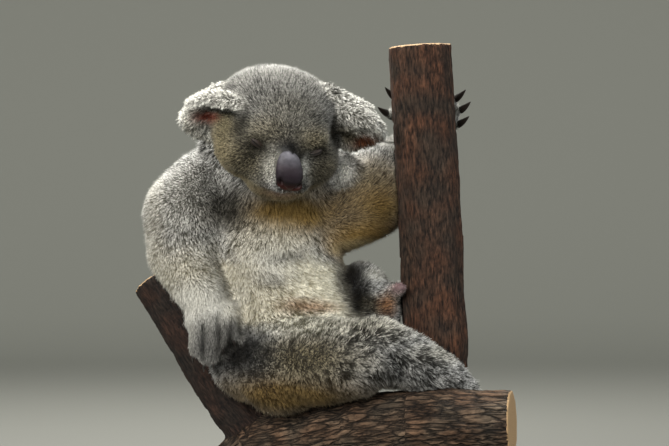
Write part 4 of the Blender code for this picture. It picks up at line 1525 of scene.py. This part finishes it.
# %% Model the board
low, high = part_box("stand_base")
size, middle = high - low, (high + low) / 2
bpy.ops.mesh.primitive_cube_add(size=1, location=middle)
board = bpy.context.object
board.name = "display_board"
board.scale = size
bpy.ops.object.transform_apply(location=True, scale=True)
bpy.ops.object.mode_set(mode="EDIT")
bpy.ops.mesh.select_mode(type="EDGE")
shape = bmesh.from_edit_mesh(board.data)
for edge in shape.edges:
    a, b = edge.verts
    edge.select = abs(a.co.z - b.co.z) > 0.5 * size.z
bmesh.update_edit_mesh(board.data)
bpy.ops.mesh.bevel(offset=36 * MM, segments=20)
bpy.ops.mesh.select_all(action="DESELECT")
shape = bmesh.from_edit_mesh(board.data)
for edge in shape.edges:
    a, b = edge.verts
    edge.select = a.co.z > high.z - 1e-6 and b.co.z > high.z - 1e-6
bmesh.update_edit_mesh(board.data)
bpy.ops.mesh.bevel(offset=2.5 * MM, segments=5)
bpy.ops.object.mode_set(mode="OBJECT")
bpy.ops.object.shade_smooth_by_angle(angle=math.radians(35))

lacquer, shader = new_material("satin_charcoal_lacquer", Roughness=0.36, Coat_Weight=0.3, Coat_Roughness=0.25)
peel = speckle(lacquer, Scale=260.0, Detail=2.0)
haze = speckle(lacquer, Scale=9.0, Detail=4.0)
two_tones(lacquer, shader, haze.outputs["Fac"], "#2d2c2a", "#393735")
embossed(lacquer, shader, peel.outputs["Fac"], 0.15, 0.0003)
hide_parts("stand_base")
ready(board, lacquer, smooth=False)

# %% Model the rods
steel, shader = new_material("brushed_stainless_rod", Metallic=1.0, Roughness=0.3)
place = add_node(steel, "ShaderNodeTexCoord")
stretch = add_node(steel, "ShaderNodeMapping", {"Scale": (900.0, 900.0, 12.0)},
                   {"Vector": place.outputs["Object"]})
brush = add_node(steel, "ShaderNodeTexNoise", {"Scale": 1.0, "Detail": 3.0},
                 {"Vector": stretch.outputs["Vector"]})
two_tones(steel, shader, brush.outputs["Fac"], "#a9aaac", "#c9cacb")
wire(steel, remap(steel, brush.outputs["Fac"], 0.24, 0.4), shader.inputs["Roughness"])
for node in ("stand_rod_fork", "stand_rod_trunk"):
    low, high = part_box(node)
    radius = (high.x - low.x) / 2
    centre = (high + low) / 2
    bpy.ops.mesh.primitive_cylinder_add(vertices=48, radius=radius, depth=high.z - low.z, location=centre)
    rod = bpy.context.object
    rod.name = node.replace("stand_rod", "steel_rod")
    bpy.ops.mesh.primitive_cylinder_add(vertices=48, radius=radius + 5 * MM, depth=4 * MM,
                                        location=(centre.x, centre.y, low.z + 2 * MM))
    collar = bpy.context.object
    modify(collar, "BEVEL", width=1.2 * MM, segments=3, limit_method="ANGLE")
    pick(collar, rod)
    bpy.ops.object.join()
    bpy.ops.object.transform_apply(location=True)
    bpy.ops.object.shade_smooth_by_angle(angle=math.radians(35))
    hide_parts(node)
    ready(rod, steel, smooth=False)

# %% Measure and finish
shown_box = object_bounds()
for name, (low, high) in (("solids", cad_box), ("dressed", shown_box)):
    print(name, [round((b - a) / MM, 1) for a, b in zip(low, high)], "mm")
total = sum(triangles(o) for o in bpy.context.scene.objects if o.type == "MESH" and not o.hide_render)
print("triangles in all:", total)
